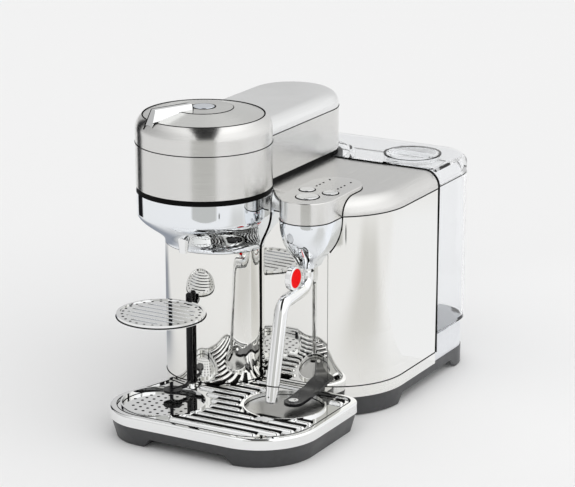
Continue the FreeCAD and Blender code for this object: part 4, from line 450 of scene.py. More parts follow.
@dataclass
class RoundShading:
    """A tree that joins a solid's triangles and rounds its shading up to an angle."""

    join: float = 0.002 * MM
    angle: float = 28.0
    tree: bpy.types.NodeTree = field(init=False)

    def __post_init__(self) -> None:
        """Build the tree."""
        wiring, source = new_geometry_tree("round_shading", {})
        merged = wiring.add("GeometryNodeMergeByDistance", {
            "Geometry": source.outputs[0], "Distance": self.join})
        smooth = wiring.add("GeometryNodeSetShadeSmooth", {
            "Geometry": merged.outputs[0], "Shade Smooth": True}, domain="FACE")
        bend = wiring.add("GeometryNodeInputMeshEdgeAngle").outputs["Unsigned Angle"]
        sharp = wiring.add("FunctionNodeCompare", {0: bend, 1: math.radians(self.angle)}, operation="GREATER_THAN")
        split = wiring.add("GeometryNodeSetShadeSmooth", {
            "Geometry": smooth.outputs[0], "Selection": sharp.outputs[0], "Shade Smooth": False}, domain="EDGE")
        wiring.add("NodeGroupOutput", {0: split.outputs[0]})
        self.tree = wiring.tree


@dataclass
class GrainLines:
    """A tree that lays a map along the grain of a brushed piece, face by face."""

    level_limit: float = 0.97
    tree: bpy.types.NodeTree = field(init=False)

    def __post_init__(self) -> None:
        """Build the tree."""
        wiring, source = new_geometry_tree("grain_lines", {
            "Spun": "NodeSocketBool", "Centre": "NodeSocketVector", "Level Way": "NodeSocketVector"})
        place = wiring.add("GeometryNodeInputPosition").outputs[0]
        facing = self._by_face(wiring, wiring.add("GeometryNodeInputNormal").outputs[0])
        middle = self._by_face(wiring, place)
        height = wiring.add("ShaderNodeSeparateXYZ", {0: facing}).outputs["Z"]
        level = wiring.math("GREATER_THAN", wiring.math("ABSOLUTE", height), self.level_limit)
        along = self._either(wiring, level, wiring.vector("CROSS_PRODUCT", (0.0, 0.0, 1.0), facing),
                             source.outputs["Level Way"])
        spoke = wiring.vector("SUBTRACT", middle, source.outputs["Centre"])
        around = wiring.vector("CROSS_PRODUCT", (0.0, 0.0, 1.0), spoke)
        grain = wiring.vector("NORMALIZE", self._either(wiring, source.outputs["Spun"], along, around))
        across = wiring.vector("CROSS_PRODUCT", facing, grain)
        spot = wiring.add("ShaderNodeCombineXYZ", {
            "X": wiring.vector("DOT_PRODUCT", place, grain), "Y": wiring.vector("DOT_PRODUCT", place, across)})
        stored = wiring.add("GeometryNodeStoreNamedAttribute", {
            "Geometry": source.outputs["Geometry"], "Name": GRAIN_MAP, "Value": spot.outputs[0]},
            data_type="FLOAT2", domain="CORNER")
        wiring.add("NodeGroupOutput", {0: stored.outputs[0]})
        self.tree = wiring.tree

    @staticmethod
    def _by_face(wiring: Wiring, value: bpy.types.NodeSocket) -> bpy.types.NodeSocket:
        """Return a vector held constant over each face."""
        node = wiring.add("GeometryNodeFieldOnDomain", data_type="FLOAT_VECTOR", domain="FACE")
        wiring.link(value, node.inputs["Value"])
        return node.outputs["Value"]

    @staticmethod
    def _either(wiring: Wiring, choice: bpy.types.NodeSocket, no: Any, yes: Any) -> bpy.types.NodeSocket:
        """Return one of two vectors."""
        return wiring.add("GeometryNodeSwitch", {"Switch": choice, "False": no, "True": yes},
                          input_type="VECTOR").outputs[0]


class Section(Enum):
    """The section that is drawn along a line."""

    ROUND = "bead"
    SQUARE = "bar"


@dataclass
class LineTool:
    """A tree that draws one section along the lines of a guide."""

    section: Section
    sides: int = 8
    tree: bpy.types.NodeTree = field(init=False)

    def __post_init__(self) -> None:
        """Build the tree."""
        wiring, source = new_geometry_tree(f"{self.section.value}_along_line", {
            "Width": "NodeSocketFloat", "Height": "NodeSocketFloat", "Finish": "NodeSocketMaterial"})
        curve = wiring.add("GeometryNodeMeshToCurve", {"Mesh": source.outputs["Geometry"]})
        upright = wiring.add("GeometryNodeSetCurveNormal", {"Curve": curve.outputs[0]}, mode="Z_UP")
        if self.section is Section.ROUND:
            radius = wiring.math("MULTIPLY", source.outputs["Width"], 0.5)
            profile = wiring.add("GeometryNodeCurvePrimitiveCircle", {
                "Resolution": self.sides, "Radius": radius})
        else:
            profile = wiring.add("GeometryNodeCurvePrimitiveQuadrilateral", {
                "Width": source.outputs["Width"], "Height": source.outputs["Height"]})
        drawn = wiring.add("GeometryNodeCurveToMesh", {
            "Curve": upright.outputs[0], "Profile Curve": profile.outputs[0], "Fill Caps": True})
        plain = wiring.add("GeometryNodeRealizeInstances", {0: drawn.outputs[0]})
        dressed = wiring.add("GeometryNodeSetMaterial", {
            "Geometry": plain.outputs[0], "Material": source.outputs["Finish"]})
        wiring.add("NodeGroupOutput", {0: dressed.outputs[0]})
        self.tree = wiring.tree


@dataclass
class SpotTool:
    """A tree that stands a low disc on every point of a guide."""

    sides: int = 14
    tree: bpy.types.NodeTree = field(init=False)

    def __post_init__(self) -> None:
        """Build the tree."""
        wiring, source = new_geometry_tree("disc_on_point", {
            "Width": "NodeSocketFloat", "Height": "NodeSocketFloat", "Finish": "NodeSocketMaterial"})
        radius = wiring.math("MULTIPLY", source.outputs["Width"], 0.5)
        disc = wiring.add("GeometryNodeMeshCylinder", {
            "Vertices": self.sides, "Radius": radius, "Depth": source.outputs["Height"]})
        placed = wiring.add("GeometryNodeInstanceOnPoints", {
            "Points": source.outputs["Geometry"], "Instance": disc.outputs["Mesh"]})
        plain = wiring.add("GeometryNodeRealizeInstances", {0: placed.outputs[0]})
        dressed = wiring.add("GeometryNodeSetMaterial", {
            "Geometry": plain.outputs[0], "Material": source.outputs["Finish"]})
        wiring.add("NodeGroupOutput", {0: dressed.outputs[0]})
        self.tree = wiring.tree


# Lines in plan


def arc(centre: Flat, radius: float, start: float, end: float, steps: int = 24) -> list[Flat]:
    """Return points along an arc.

    Args:
        centre: The middle of the arc.
        radius: Its radius.
        start: The bearing it starts at, in degrees from +X.
        end: The bearing it ends at.
        steps: How many pieces it is divided into.

    Returns:
        The points, both ends among them.
    """
    turns = [math.radians(start + (end - start) * step / steps) for step in range(steps + 1)]
    return [(centre[0] + radius * math.cos(turn), centre[1] + radius * math.sin(turn)) for turn in turns]


def inset_corners(corners: Sequence[Spot], distance: float) -> list[Spot]:
    """Move the sides of an outline inwards.

    Args:
        corners: X, Y and rounding radius of each corner, anticlockwise.
        distance: How far the sides move.

    Returns:
        The corners of the smaller outline.
    """
    result = []
    for index, (x, y, radius) in enumerate(corners):
        before = Vector(corners[index - 1][:2])
        here = Vector((x, y))
        after = Vector(corners[(index + 1) % len(corners)][:2])
        first = (here - before).normalized()
        second = (after - here).normalized()
        slide = distance * math.tan(first.angle_signed(second) / -2)
        moved = here + Vector((-second.y, second.x)) * distance + second * slide
        result.append((moved.x, moved.y, max(radius - distance, 0.0)))
    return result


def rounded_loop(corners: Sequence[Spot], steps: int = 12) -> list[Flat]:
    """Return the points of an outline with its corners rounded.

    Args:
        corners: X, Y and rounding radius of each corner, anticlockwise.
        steps: How many pieces each corner is divided into.

    Returns:
        The points, without the first one repeated.
    """
    points = []
    for index, (x, y, radius) in enumerate(corners):
        here = Vector((x, y))
        first = (here - Vector(corners[index - 1][:2])).normalized()
        second = (Vector(corners[(index + 1) % len(corners)][:2]) - here).normalized()
        if radius <= 0:
            points.append((x, y))
            continue
        turn = -first.angle_signed(second)
        start = here - first * radius * math.tan(turn / 2)
        centre = start + Vector((-first.y, first.x)) * radius
        bearing = math.degrees(math.atan2(start.y - centre.y, start.x - centre.x))
        points += arc(tuple(centre), radius, bearing, bearing + math.degrees(turn), steps)
    return points


def lift(points: Iterable[Flat], height: float) -> list[Spot]:
    """Return plan points at one height."""
    return [(x, y, height) for x, y in points]


# The workshop


@dataclass
class Workshop:
    """The solids, the finishes and the tools that every sub-assembly works with."""

    nodes: dict[str, bpy.types.Object]
    palette: Palette
    shading: RoundShading = field(default_factory=RoundShading)
    grain: GrainLines = field(default_factory=GrainLines)
    bead: LineTool = field(default_factory=lambda: LineTool(Section.ROUND))
    bar: LineTool = field(default_factory=lambda: LineTool(Section.SQUARE))
    spot: SpotTool = field(default_factory=SpotTool)

    def dress(self, name: str, finish: str) -> None:
        """Give a solid its finish, smooth shading and, where it is brushed, its grain.

        Args:
            name: The node's name.
            finish: The finish's name.
        """
        piece = self.nodes[name]
        piece.data.materials.clear()
        piece.data.materials.append(self.palette.materials[finish])
        put_on(piece, self.shading.tree, {})
        if finish.endswith("_steel"):
            low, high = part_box(name)
            spun = finish in ("dome_steel", "disc_steel", "button_steel", "jug_steel")
            put_on(piece, self.grain.tree, {
                "Spun": spun, "Centre": (low + high) / 2, "Level Way": (0.0, 1.0, 0.0)})
        LOG.info("dressed %s in %s", name, finish)

    def lines(self, name: str, body: str, runs: Sequence[Sequence[Spot]], width: float,
              height: float = 0.0, closed: bool = False) -> None:
        """Draw lines of painted shade that ride on one body.

        Args:
            name: The name of the piece.
            body: The body that carries it.
            runs: The points of each line, in millimetres.
            width: How wide a line is, in millimetres.
            height: How high a square line is; a line with none is round.
            closed: Whether each line joins up with its start.
        """
        points: list[Spot] = []
        edges: list[tuple[int, int]] = []
        for run in runs:
            first = len(points)
            points += run
            edges += [(index, index + 1) for index in range(first, len(points) - 1)]
            if closed:
                edges.append((len(points) - 1, first))
        tool = self.bar if height > 0 else self.bead
        self._make(name, body, tool.tree, points, edges, (width, height))

    def spots(self, name: str, body: str, points: Sequence[Spot], width: float, height: float) -> None:
        """Set discs of painted shade that ride on one body.

        Args:
            name: The name of the piece.
            body: The body that carries it.
            points: The middle of each disc, in millimetres.
            width: How wide a disc is, in millimetres.
            height: How thick it is.
        """
        self._make(name, body, self.spot.tree, points, [], (width, height))

    def _make(self, name: str, body: str, tree: bpy.types.NodeTree, points: Sequence[Spot],
              edges: Sequence[tuple[int, int]], size: Flat) -> None:
        """Run a tree over a guide and keep its result as a plain piece.

        Args:
            name: The name of the piece.
            body: The body that carries it.
            tree: The geometry tree.
            points: The points of the guide, in millimetres.
            edges: The lines between them.
            size: The tree's width and height, in millimetres.
        """
        mesh = bpy.data.meshes.new(f"{name}_guide")
        mesh.from_pydata([Vector(point) * MM for point in points], edges, [])
        guide = bpy.data.objects.new(f"{name}_guide", mesh)
        bpy.context.scene.collection.objects.link(guide)
        put_on(guide, tree, {"Width": size[0] * MM, "Height": size[1] * MM,
                             "Finish": self.palette.materials["shadow_black"]})
        seen = guide.evaluated_get(bpy.context.evaluated_depsgraph_get())
        piece = bpy.data.objects.new(name, bpy.data.meshes.new_from_object(seen))
        bpy.data.objects.remove(guide)
        bpy.context.scene.collection.objects.link(piece)
        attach(piece, body)
        LOG.info("made %s with %d faces", name, len(piece.data.polygons))


# Sub-assemblies


@dataclass
class SubAssembly:
    """A group of solids with the finishes they wear and the details drawn on them."""

    shop: Workshop
    wears: ClassVar[dict[str, str]] = {}

    def build(self) -> None:
        """Dress the solids and add the details."""
        for finish, names in self.wears.items():
            for name in names.split():
                self.shop.dress(name, finish)
        self.detail()

    def detail(self) -> None:
        """Add nothing; a sub-assembly with details has its own version."""


@dataclass
class BodyShell(SubAssembly):
    """The walls, the top plate and the base, with painted shade in the seams between them."""

    left: float = -102.35
    right: float = 115.65
    front: float = -44.0
    rear: float = 104.0
    corner: float = 75.0
    column: Flat = (-50.65, -36.5)
    column_radius: float = 51.7
    column_meets: float = 0.5
    band_top: float = 31.0
    wall_top: float = 200.0
    plate_top: float = 217.0
    plate_roll: float = 16.0
    bowl_side: float = 15.0
    bowl_span: Flat = (161.0, 198.0)
    head: Flat = (-50.65, -62.0)
    head_radius: float = 65.0
    funnel_sides: Flat = (29.0, 82.3)
    arm_side: float = 0.5
    seam: float = 1.2
    tank_seam_shade: float = 2.2
    wears: ClassVar[dict[str, str]] = {
        "wall_chrome": "base_trim column_shell front_panel body_shell left_panel",
        "plate_steel": "top_plate",
        "satin_grey": "base_pan",
        "gloss_black": "rear_panel",
        "black_rubber": "rubber_feet cord_gland",
        "cast_metal": "body_screws",
    }

    def detail(self) -> None:
        """Draw painted shade in the seams below the plate, above the band and ahead of the tank."""
        turn = (self.right - self.corner, self.front + self.corner)
        past_funnel = math.degrees(math.asin((self.funnel_sides[1] - turn[0]) / self.corner))
        rear = (self.right, self.rear - self.seam)
        under_plate = [
            lift([(self.bowl_side, self.front), (self.funnel_sides[0], self.front)], self.wall_top),
            lift(arc(turn, self.corner, past_funnel - 90, 0) + [rear], self.wall_top),
        ]
        meets = math.degrees(math.atan2(self.front - self.column[1], self.column_meets - self.column[0]))
        band = [(self.left, self.rear - self.seam)] + arc(self.column, self.column_radius, 180, 360 + meets, 48)
        band += arc(turn, self.corner, -90, 0) + [rear]
        self.shop.lines("wall_seam_shade", "chassis", under_plate + [lift(band, self.band_top), self._bowl_seam()],
                        self.seam)
        middle = self.rear + self.seam
        roll = (self.right - self.plate_roll, self.plate_top - self.plate_roll)
        profile = [(self.right, self.band_top)] + arc(roll, self.plate_roll, 0, 90, 12)
        profile.append((self.arm_side, self.plate_top))
        upright = [(x, middle, z) for x, z in profile]
        left = [(self.left, middle, self.band_top), (self.left, middle, self.wall_top)]
        self.shop.lines("tank_seam_shade", "chassis", [upright, left], self.tank_seam_shade)

    def _bowl_seam(self) -> list[Spot]:
        """Return the line of painted shade where the column and the bowl meet the front wall."""
        points = [(self.column_meets + self.seam / 2, self.front, self.band_top)]
        low, high = self.bowl_span
        for step in range(13):
            share = step / 12
            swell = share * share * (3 - 2 * share)
            radius = self.column_radius + (self.head_radius - self.column_radius) * swell
            back = self.front - self.column[1] - (self.head[1] - self.column[1]) * swell
            reach = math.sqrt(radius ** 2 - back ** 2)
            points.append((self.column[0] + reach + self.seam / 2, self.front, low + share * (high - low)))
        return points


@dataclass
class BrewHead(SubAssembly):
    """The bowl, the lid, the lock and the brew button."""

    axis: Flat = (-50.65, -62.0)
    hub_line: float = 28.4
    hub_height: float = 296.0
    button_line: float = 11.5
    button_height: float = 297.0
    line: float = 1.0
    lever_turn: float = -24.0
    lever_edges: tuple[tuple[Spot, ...], ...] = (
        ((-3.3, -16.0, 301.8), (-3.3, -56.5, 301.8), (-6.4, -63.8, 283.0)),
        ((-3.3, -14.9, 301.6), (3.4, -14.9, 301.6), (4.3, -14.9, 296.8)),
    )
    arm_joint_shade: Flat = (-2.6, -17.6)
    arm_joint_span: Flat = (222.6, 272.0)
    joint_line: float = 2.0
    disc_line: float = 57.8
    disc_edge_shade: float = 1.5
    disc_height: float = 290.2
    head_radius: float = 65.0
    arm_half: float = 47.7
    arm_end: float = 106.6
    seam_height: float = 264.3
    wears: ClassVar[dict[str, str]] = {
        "mirror_chrome": "coffee_spout lock_lever hinge_pin",
        "bowl_chrome": "bowl_shell",
        "head_steel": "head_ring",
        "arm_steel": "arm_cover",
        "dome_steel": "head_cap",
        "disc_steel": "lock_disc",
        "button_steel": "brew_button",
        "seal_black": "head_frame head_gasket",
        "satin_grey": "hinge_tower",
        "cast_metal": "motor_stator capsule_cage drive_shaft shaft_bearings bayonet_ring",
        "moulded_grey": "brew_liner injection_head",
    }

    def detail(self) -> None:
        """Draw painted shade round the hub, button, arm joint, disc and lid, and a painted dark reflection on the
        lever.
        """
        rings = [lift(arc(self.axis, radius, 0, 360, 64)[:-1], height) for radius, height in (
            (self.hub_line, self.hub_height), (self.button_line, self.button_height))]
        self.shop.lines("hub_ring_shade", "lock", rings, self.line, closed=True)
        # the lever's edge lines below are a painted dark reflection
        turn = math.radians(self.lever_turn)
        edges = [[(self.axis[0] + x * math.cos(turn) - y * math.sin(turn),
                   self.axis[1] + x * math.sin(turn) + y * math.cos(turn), z) for x, y, z in edge]
                 for edge in self.lever_edges]
        self.shop.lines("lever_painted_reflection", "lock", edges, self.line)
        # painted shade where the arm meets the ring
        joint = [(*self.arm_joint_shade, height) for height in self.arm_joint_span]
        self.shop.lines("arm_joint_shade", "lid", [joint], self.joint_line)
        disc = lift(arc(self.axis, self.disc_line, 0, 360, 96)[:-1], self.disc_height)
        self.shop.lines("disc_edge_shade", "lid", [disc], self.disc_edge_shade, closed=True)
        meets = math.degrees(math.acos(self.arm_half / self.head_radius))
        outline = arc(self.axis, self.head_radius, 180 - meets, 360 + meets, 72)
        outline += arc((self.axis[0], self.arm_end), self.arm_half, 0, 180, 48)
        self.shop.lines("lid_seam_shade", "lid", [lift(outline, self.seam_height)], self.line, closed=True)


@dataclass
class ControlPanel(SubAssembly):
    """The panel with its keys and lights."""

    top: float = 221.0
    plate_top: float = 217.0
    nose: Flat = (55.65, -52.3)
    nose_radius: float = 26.2
    rear: float = 1.0
    flange: float = 1.2
    key_gap: float = 0.8
    line: float = 0.8
    seam: float = 1.1
    nose_bottom: float = 200.0
    funnel: tuple[Flat, ...] = ((0.0, 26.2), (12.0, 25.5), (22.0, 23.0), (29.0, 19.8), (35.0, 16.0))
    corner: float = 75.0
    corner_middle: Flat = (40.65, 31.0)
    roll: float = 16.0
    keys: ClassVar[tuple[str, ...]] = ("start_button", "froth_button", "temperature_button")
    wears: ClassVar[dict[str, str]] = {
        "panel_steel": "panel_cap",
        "mirror_chrome": "start_button froth_button temperature_button",
        "shadow_black": "panel_lights",
        "green_board": "control_board",
    }

    def detail(self) -> None:
        """Draw painted shade in a ring round each key and in the seams round the panel and the funnel."""
        rings = []
        for name in self.keys:
            low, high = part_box(name)
            centre = ((low.x + high.x) / 2 / MM, (low.y + high.y) / 2 / MM)
            reach = (high.x - low.x) / 2 / MM - self.flange + self.key_gap
            rings.append(lift(arc(centre, reach, 0, 360, 40)[:-1], self.top))
        self.shop.lines("key_ring_shade", "chassis", rings, self.line, closed=True)
        sides = [self.nose[0] + way * self.nose_radius for way in (-1, 1)]
        nose = [(sides[0], self._front_at(sides[0], self.corner))] + arc(self.nose, self.nose_radius, 180, 360, 40)
        nose.append((sides[1], self._front_at(sides[1], self.corner)))
        reach = self.nose_radius + self.seam / 4
        rear = lift(arc((self.nose[0], self.rear), reach, 0, 180, 30), self.plate_top)
        runs = [lift(nose, self.nose_bottom), self._over_roll(self.nose[0] + reach) + rear]
        runs += [self._funnel_side(way) for way in (-1, 1)]
        self.shop.lines("panel_seam_shade", "chassis", runs, self.seam)

    def _front_at(self, x: float, radius: float) -> float:
        """Return the Y of the rounded front at one place across, for one radius of its corner."""
        return self.corner_middle[1] - math.sqrt(radius ** 2 - max(x - self.corner_middle[0], 0.0) ** 2)

    def _over_roll(self, x: float) -> list[Spot]:
        """Return the line up the plate's rolled front edge at one place across."""
        roll = arc((self.corner - self.roll, self.plate_top - self.roll), self.roll, 0, 90, 12)
        return [(x, self._front_at(x, radius), height) for radius, height in roll]

    def _funnel_side(self, way: int) -> list[Spot]:
        """Return the line where one side of the funnel meets the front wall."""
        sides = [(self.nose[0] + way * (radius + self.seam / 4), drop) for drop, radius in self.funnel]
        return [(x, self._front_at(x, self.corner), self.nose_bottom - drop) for x, drop in sides]


@dataclass
class Steamer(SubAssembly):
    """The funnel, the wand with its lift tab, and the sensor arm."""

    elbow: Spot = (55.65, -101.0, 130.0)
    tip: Spot = (55.65, -122.0, 38.5)
    tip_length: float = 17.0
    groove_width: float = 1.2
    groove_radius: float = 5.7
    wears: ClassVar[dict[str, str]] = {
        "mirror_chrome": "wand_tube wand_tip lift_tab sensor_button",
        "bowl_chrome": "steam_funnel",
        "gloss_red": "tab_insert",
        "sensor_black": "sensor_arm",
    }

    def detail(self) -> None:
        """Paint shade into the groove where the tip screws on to the wand."""
        way = (Vector(self.tip) - Vector(self.elbow)).normalized()
        middle = Vector(self.tip) - way * (self.tip_length - self.groove_width / 2)
        side = Vector((1.0, 0.0, 0.0))
        up = way.cross(side)
        ring = [tuple(middle + side * x + up * y) for x, y in arc((0.0, 0.0), self.groove_radius, 0, 360, 32)[:-1]]
        self.shop.lines("tip_groove_shade", "wand", [ring], self.groove_width, closed=True)


@dataclass
class DripTray(SubAssembly):
    """The tray, with painted shade in the channels between the ribs, in the perforations and in lines round the rim
    and dishes.
    """

    corners: tuple[Spot, ...] = ((-109.1, -198.0, 46.0), (113.9, -198.0, 61.0), (113.9, -46.0, 18.0),
                                 (-67.6, -46.0, 0.0))
    dish: Flat = (-47.0, -146.0)
    dish_radius: float = 39.5
    jug: Flat = (57.5, -99.5)
    jug_radius: float = 38.0
    ring: float = 1.5
    column: Flat = (-50.65, -36.5)
    column_radius: float = 52.7
    post: Flat = (-50.65, -92.4)
    post_radius: float = 8.2
    rim_width: float = 6.5
    rim_top: float = 30.0
    rib_margin: float = 3.0
    rib_radius: float = 3.4
    rib_pitch: float = 12.5
    deck_top: float = 28.5
    channel_top: float = 29.7
    channel_width: float = 6.0
    shortest: float = 3.0
    plate_top: float = 26.5
    plate_ledge: float = 3.0
    hole_pitch: float = 8.0
    hole_width: float = 3.0
    line: float = 0.8
    wears: ClassVar[dict[str, str]] = {
        "mirror_chrome": "tray_rim tray_deck dish_grid",
        "jug_steel": "jug_dish",
        "satin_grey": "tray_skirt",
    }

    def detail(self) -> None:
        """Add painted shade in the channels, the perforations and the lines round the rim and dishes."""
        height = self.channel_top - self.deck_top
        middle = (self.channel_top + self.deck_top) / 2
        runs = [lift([(start, y), (end, y)], middle) for start, end, y in self._channels()]
        self.shop.lines("deck_channel_shade", "tray", runs, self.channel_width, height)
        self.shop.spots("dish_hole_shade", "tray", self._holes(), self.hole_width, self.line / 4)
        rings = [lift(arc(centre, radius - self.line / 4, 0, 360, 72)[:-1], self.plate_top)
                 for centre, radius in ((self.dish, self.dish_radius), (self.jug, self.jug_radius))]
        self.shop.lines("dish_ring_shade", "tray", rings, self.line, closed=True)
        self.shop.lines("rim_line_shade", "tray", self._rim_runs(), self.line)

    def _keep_out(self) -> list[tuple[Flat, float]]:
        """Return centre and radius of the places the ribs stay clear of."""
        return [(self.dish, self.dish_radius + self.ring), (self.jug, self.jug_radius + self.ring),
                (self.column, self.column_radius), (self.post, self.post_radius)]

    def _channels(self) -> list[Spot]:
        """Return start, end and Y of the channel behind each rib."""
        margin = self.rim_width + self.rib_margin + self.rib_radius
        loop = rounded_loop(inset_corners(self.corners, margin))
        front = min(y for _, y in self.corners_flat())
        rear = max(y for _, y in self.corners_flat())
        runs = []
        place = front + margin + self.rib_radius
        while place < rear - margin:
            for start, end in self._clear_spans(loop, place):
                if end - start > self.shortest and start > self.dish[0]:
                    runs.append((start, end, place + self.rib_pitch / 2))
            place += self.rib_pitch
        return runs

    def corners_flat(self) -> list[Flat]:
        """Return the plan points of the corners."""
        return [(x, y) for x, y, _ in self.corners]

    def _clear_spans(self, loop: Sequence[Flat], y: float) -> list[Flat]:
        """Find where a line across the deck is clear.

        Args:
            loop: The outline that bounds the ribs.
            y: The place of the line.

        Returns:
            Start and end of each clear stretch.
        """
        crossings = []
        for (x_a, y_a), (x_b, y_b) in zip(loop, loop[1:] + loop[:1]):
            if (y_a - y) * (y_b - y) < 0:
                crossings.append(x_a + (x_b - x_a) * (y - y_a) / (y_b - y_a))
        if len(crossings) < 2:
            return []
        spans = [(min(crossings), max(crossings))]
        for (x, centre_y), radius in self._keep_out():
            grown = radius + self.rib_margin + self.rib_radius
            if abs(y - centre_y) < grown:
                half = math.sqrt(grown ** 2 - (y - centre_y) ** 2)
                spans = [part for start, end in spans
                         for part in ((start, min(end, x - half)), (max(start, x + half), end)) if part[0] < part[1]]
        return spans

    def _holes(self) -> list[Spot]:
        """Return the places of the perforations in the dish."""
        radius = self.dish_radius - self.plate_ledge
        reach = int(radius / self.hole_pitch)
        grid = [(column * self.hole_pitch, row * self.hole_pitch)
                for column in range(-reach, reach + 1) for row in range(-reach, reach + 1)]
        return [(self.dish[0] + x, self.dish[1] + y, self.plate_top) for x, y in grid
                if math.hypot(x, y) < radius - self.hole_pitch / 2]

    def _rim_runs(self) -> list[list[Spot]]:
        """Return the line along the inside of the rim, broken where the rim is cut away."""
        loop = rounded_loop(inset_corners(self.corners, self.rim_width), 24)
        dense = []
        for (x_a, y_a), (x_b, y_b) in zip(loop, loop[1:] + loop[:1]):
            steps = max(1, int(math.dist((x_a, y_a), (x_b, y_b)) / self.rib_radius))
            dense += [(x_a + (x_b - x_a) * step / steps, y_a + (y_b - y_a) * step / steps) for step in range(steps)]
        runs: list[list[Spot]] = [[]]
        for x, y in dense:
            if all(math.dist((x, y), centre) > radius + self.line for centre, radius in self._keep_out()):
                runs[-1].append((x, y, self.rim_top))
            elif runs[-1]:
                runs.append([])
        return [run for run in runs if len(run) > 1]


@dataclass
class CupRest(SubAssembly):
    """The post and the round rest for small cups."""

    centre: Flat = (-50.65, -142.5)
    radius: float = 42.0
    edges: tuple[float, ...] = (113.8,)
    line: float = 1.5
    top: float = 115.7
    hole_circle: float = 36.5
    hole_count: int = 28
    hole_width: float = 2.6
    hole_depth: float = 0.2
    wears: ClassVar[dict[str, str]] = {"mirror_chrome": "cup_disc", "gloss_black": "cup_post"}

    def detail(self) -> None:
        """Draw painted shade along the disc's lower edge and in the small holes round it."""
        rings = [lift(arc(self.centre, self.radius, 0, 360, 72)[:-1], height) for height in self.edges]
        self.shop.lines("cup_disc_edge_shade", "cup_support", rings, self.line, closed=True)
        half_step = 180 / self.hole_count
        holes = lift(arc(self.centre, self.hole_circle, half_step, 360 + half_step, self.hole_count)[:-1], self.top)
        self.shop.spots("cup_disc_hole_shade", "cup_support", holes, self.hole_width, self.hole_depth)


@dataclass
class WaterTank(SubAssembly):
    """The clear tank with its lid, cap and dock."""

    wears: ClassVar[dict[str, str]] = {
        "clear_plastic": "water_tank tank_lid fill_cap",
        "pale_plastic": "tank_dock water_inlet",
    }


@dataclass
class Inside(SubAssembly):
    """The pump, the heater, the boiler and their pipes."""

    wears: ClassVar[dict[str, str]] = {
        "cast_metal": "thermoblock steam_boiler steam_pipe",
        "moulded_grey": "water_pump water_pipes",
    }


# Studio


@dataclass(frozen=True)
class Screen:
    """A card near the machine that only shows in its polished metal."""

    name: str
    bearing: float
    distance: float
    half_width: float
    low: float
    high: float
    shade: Colour
    lean_out: float = 0.0
    fade: float = 0.35


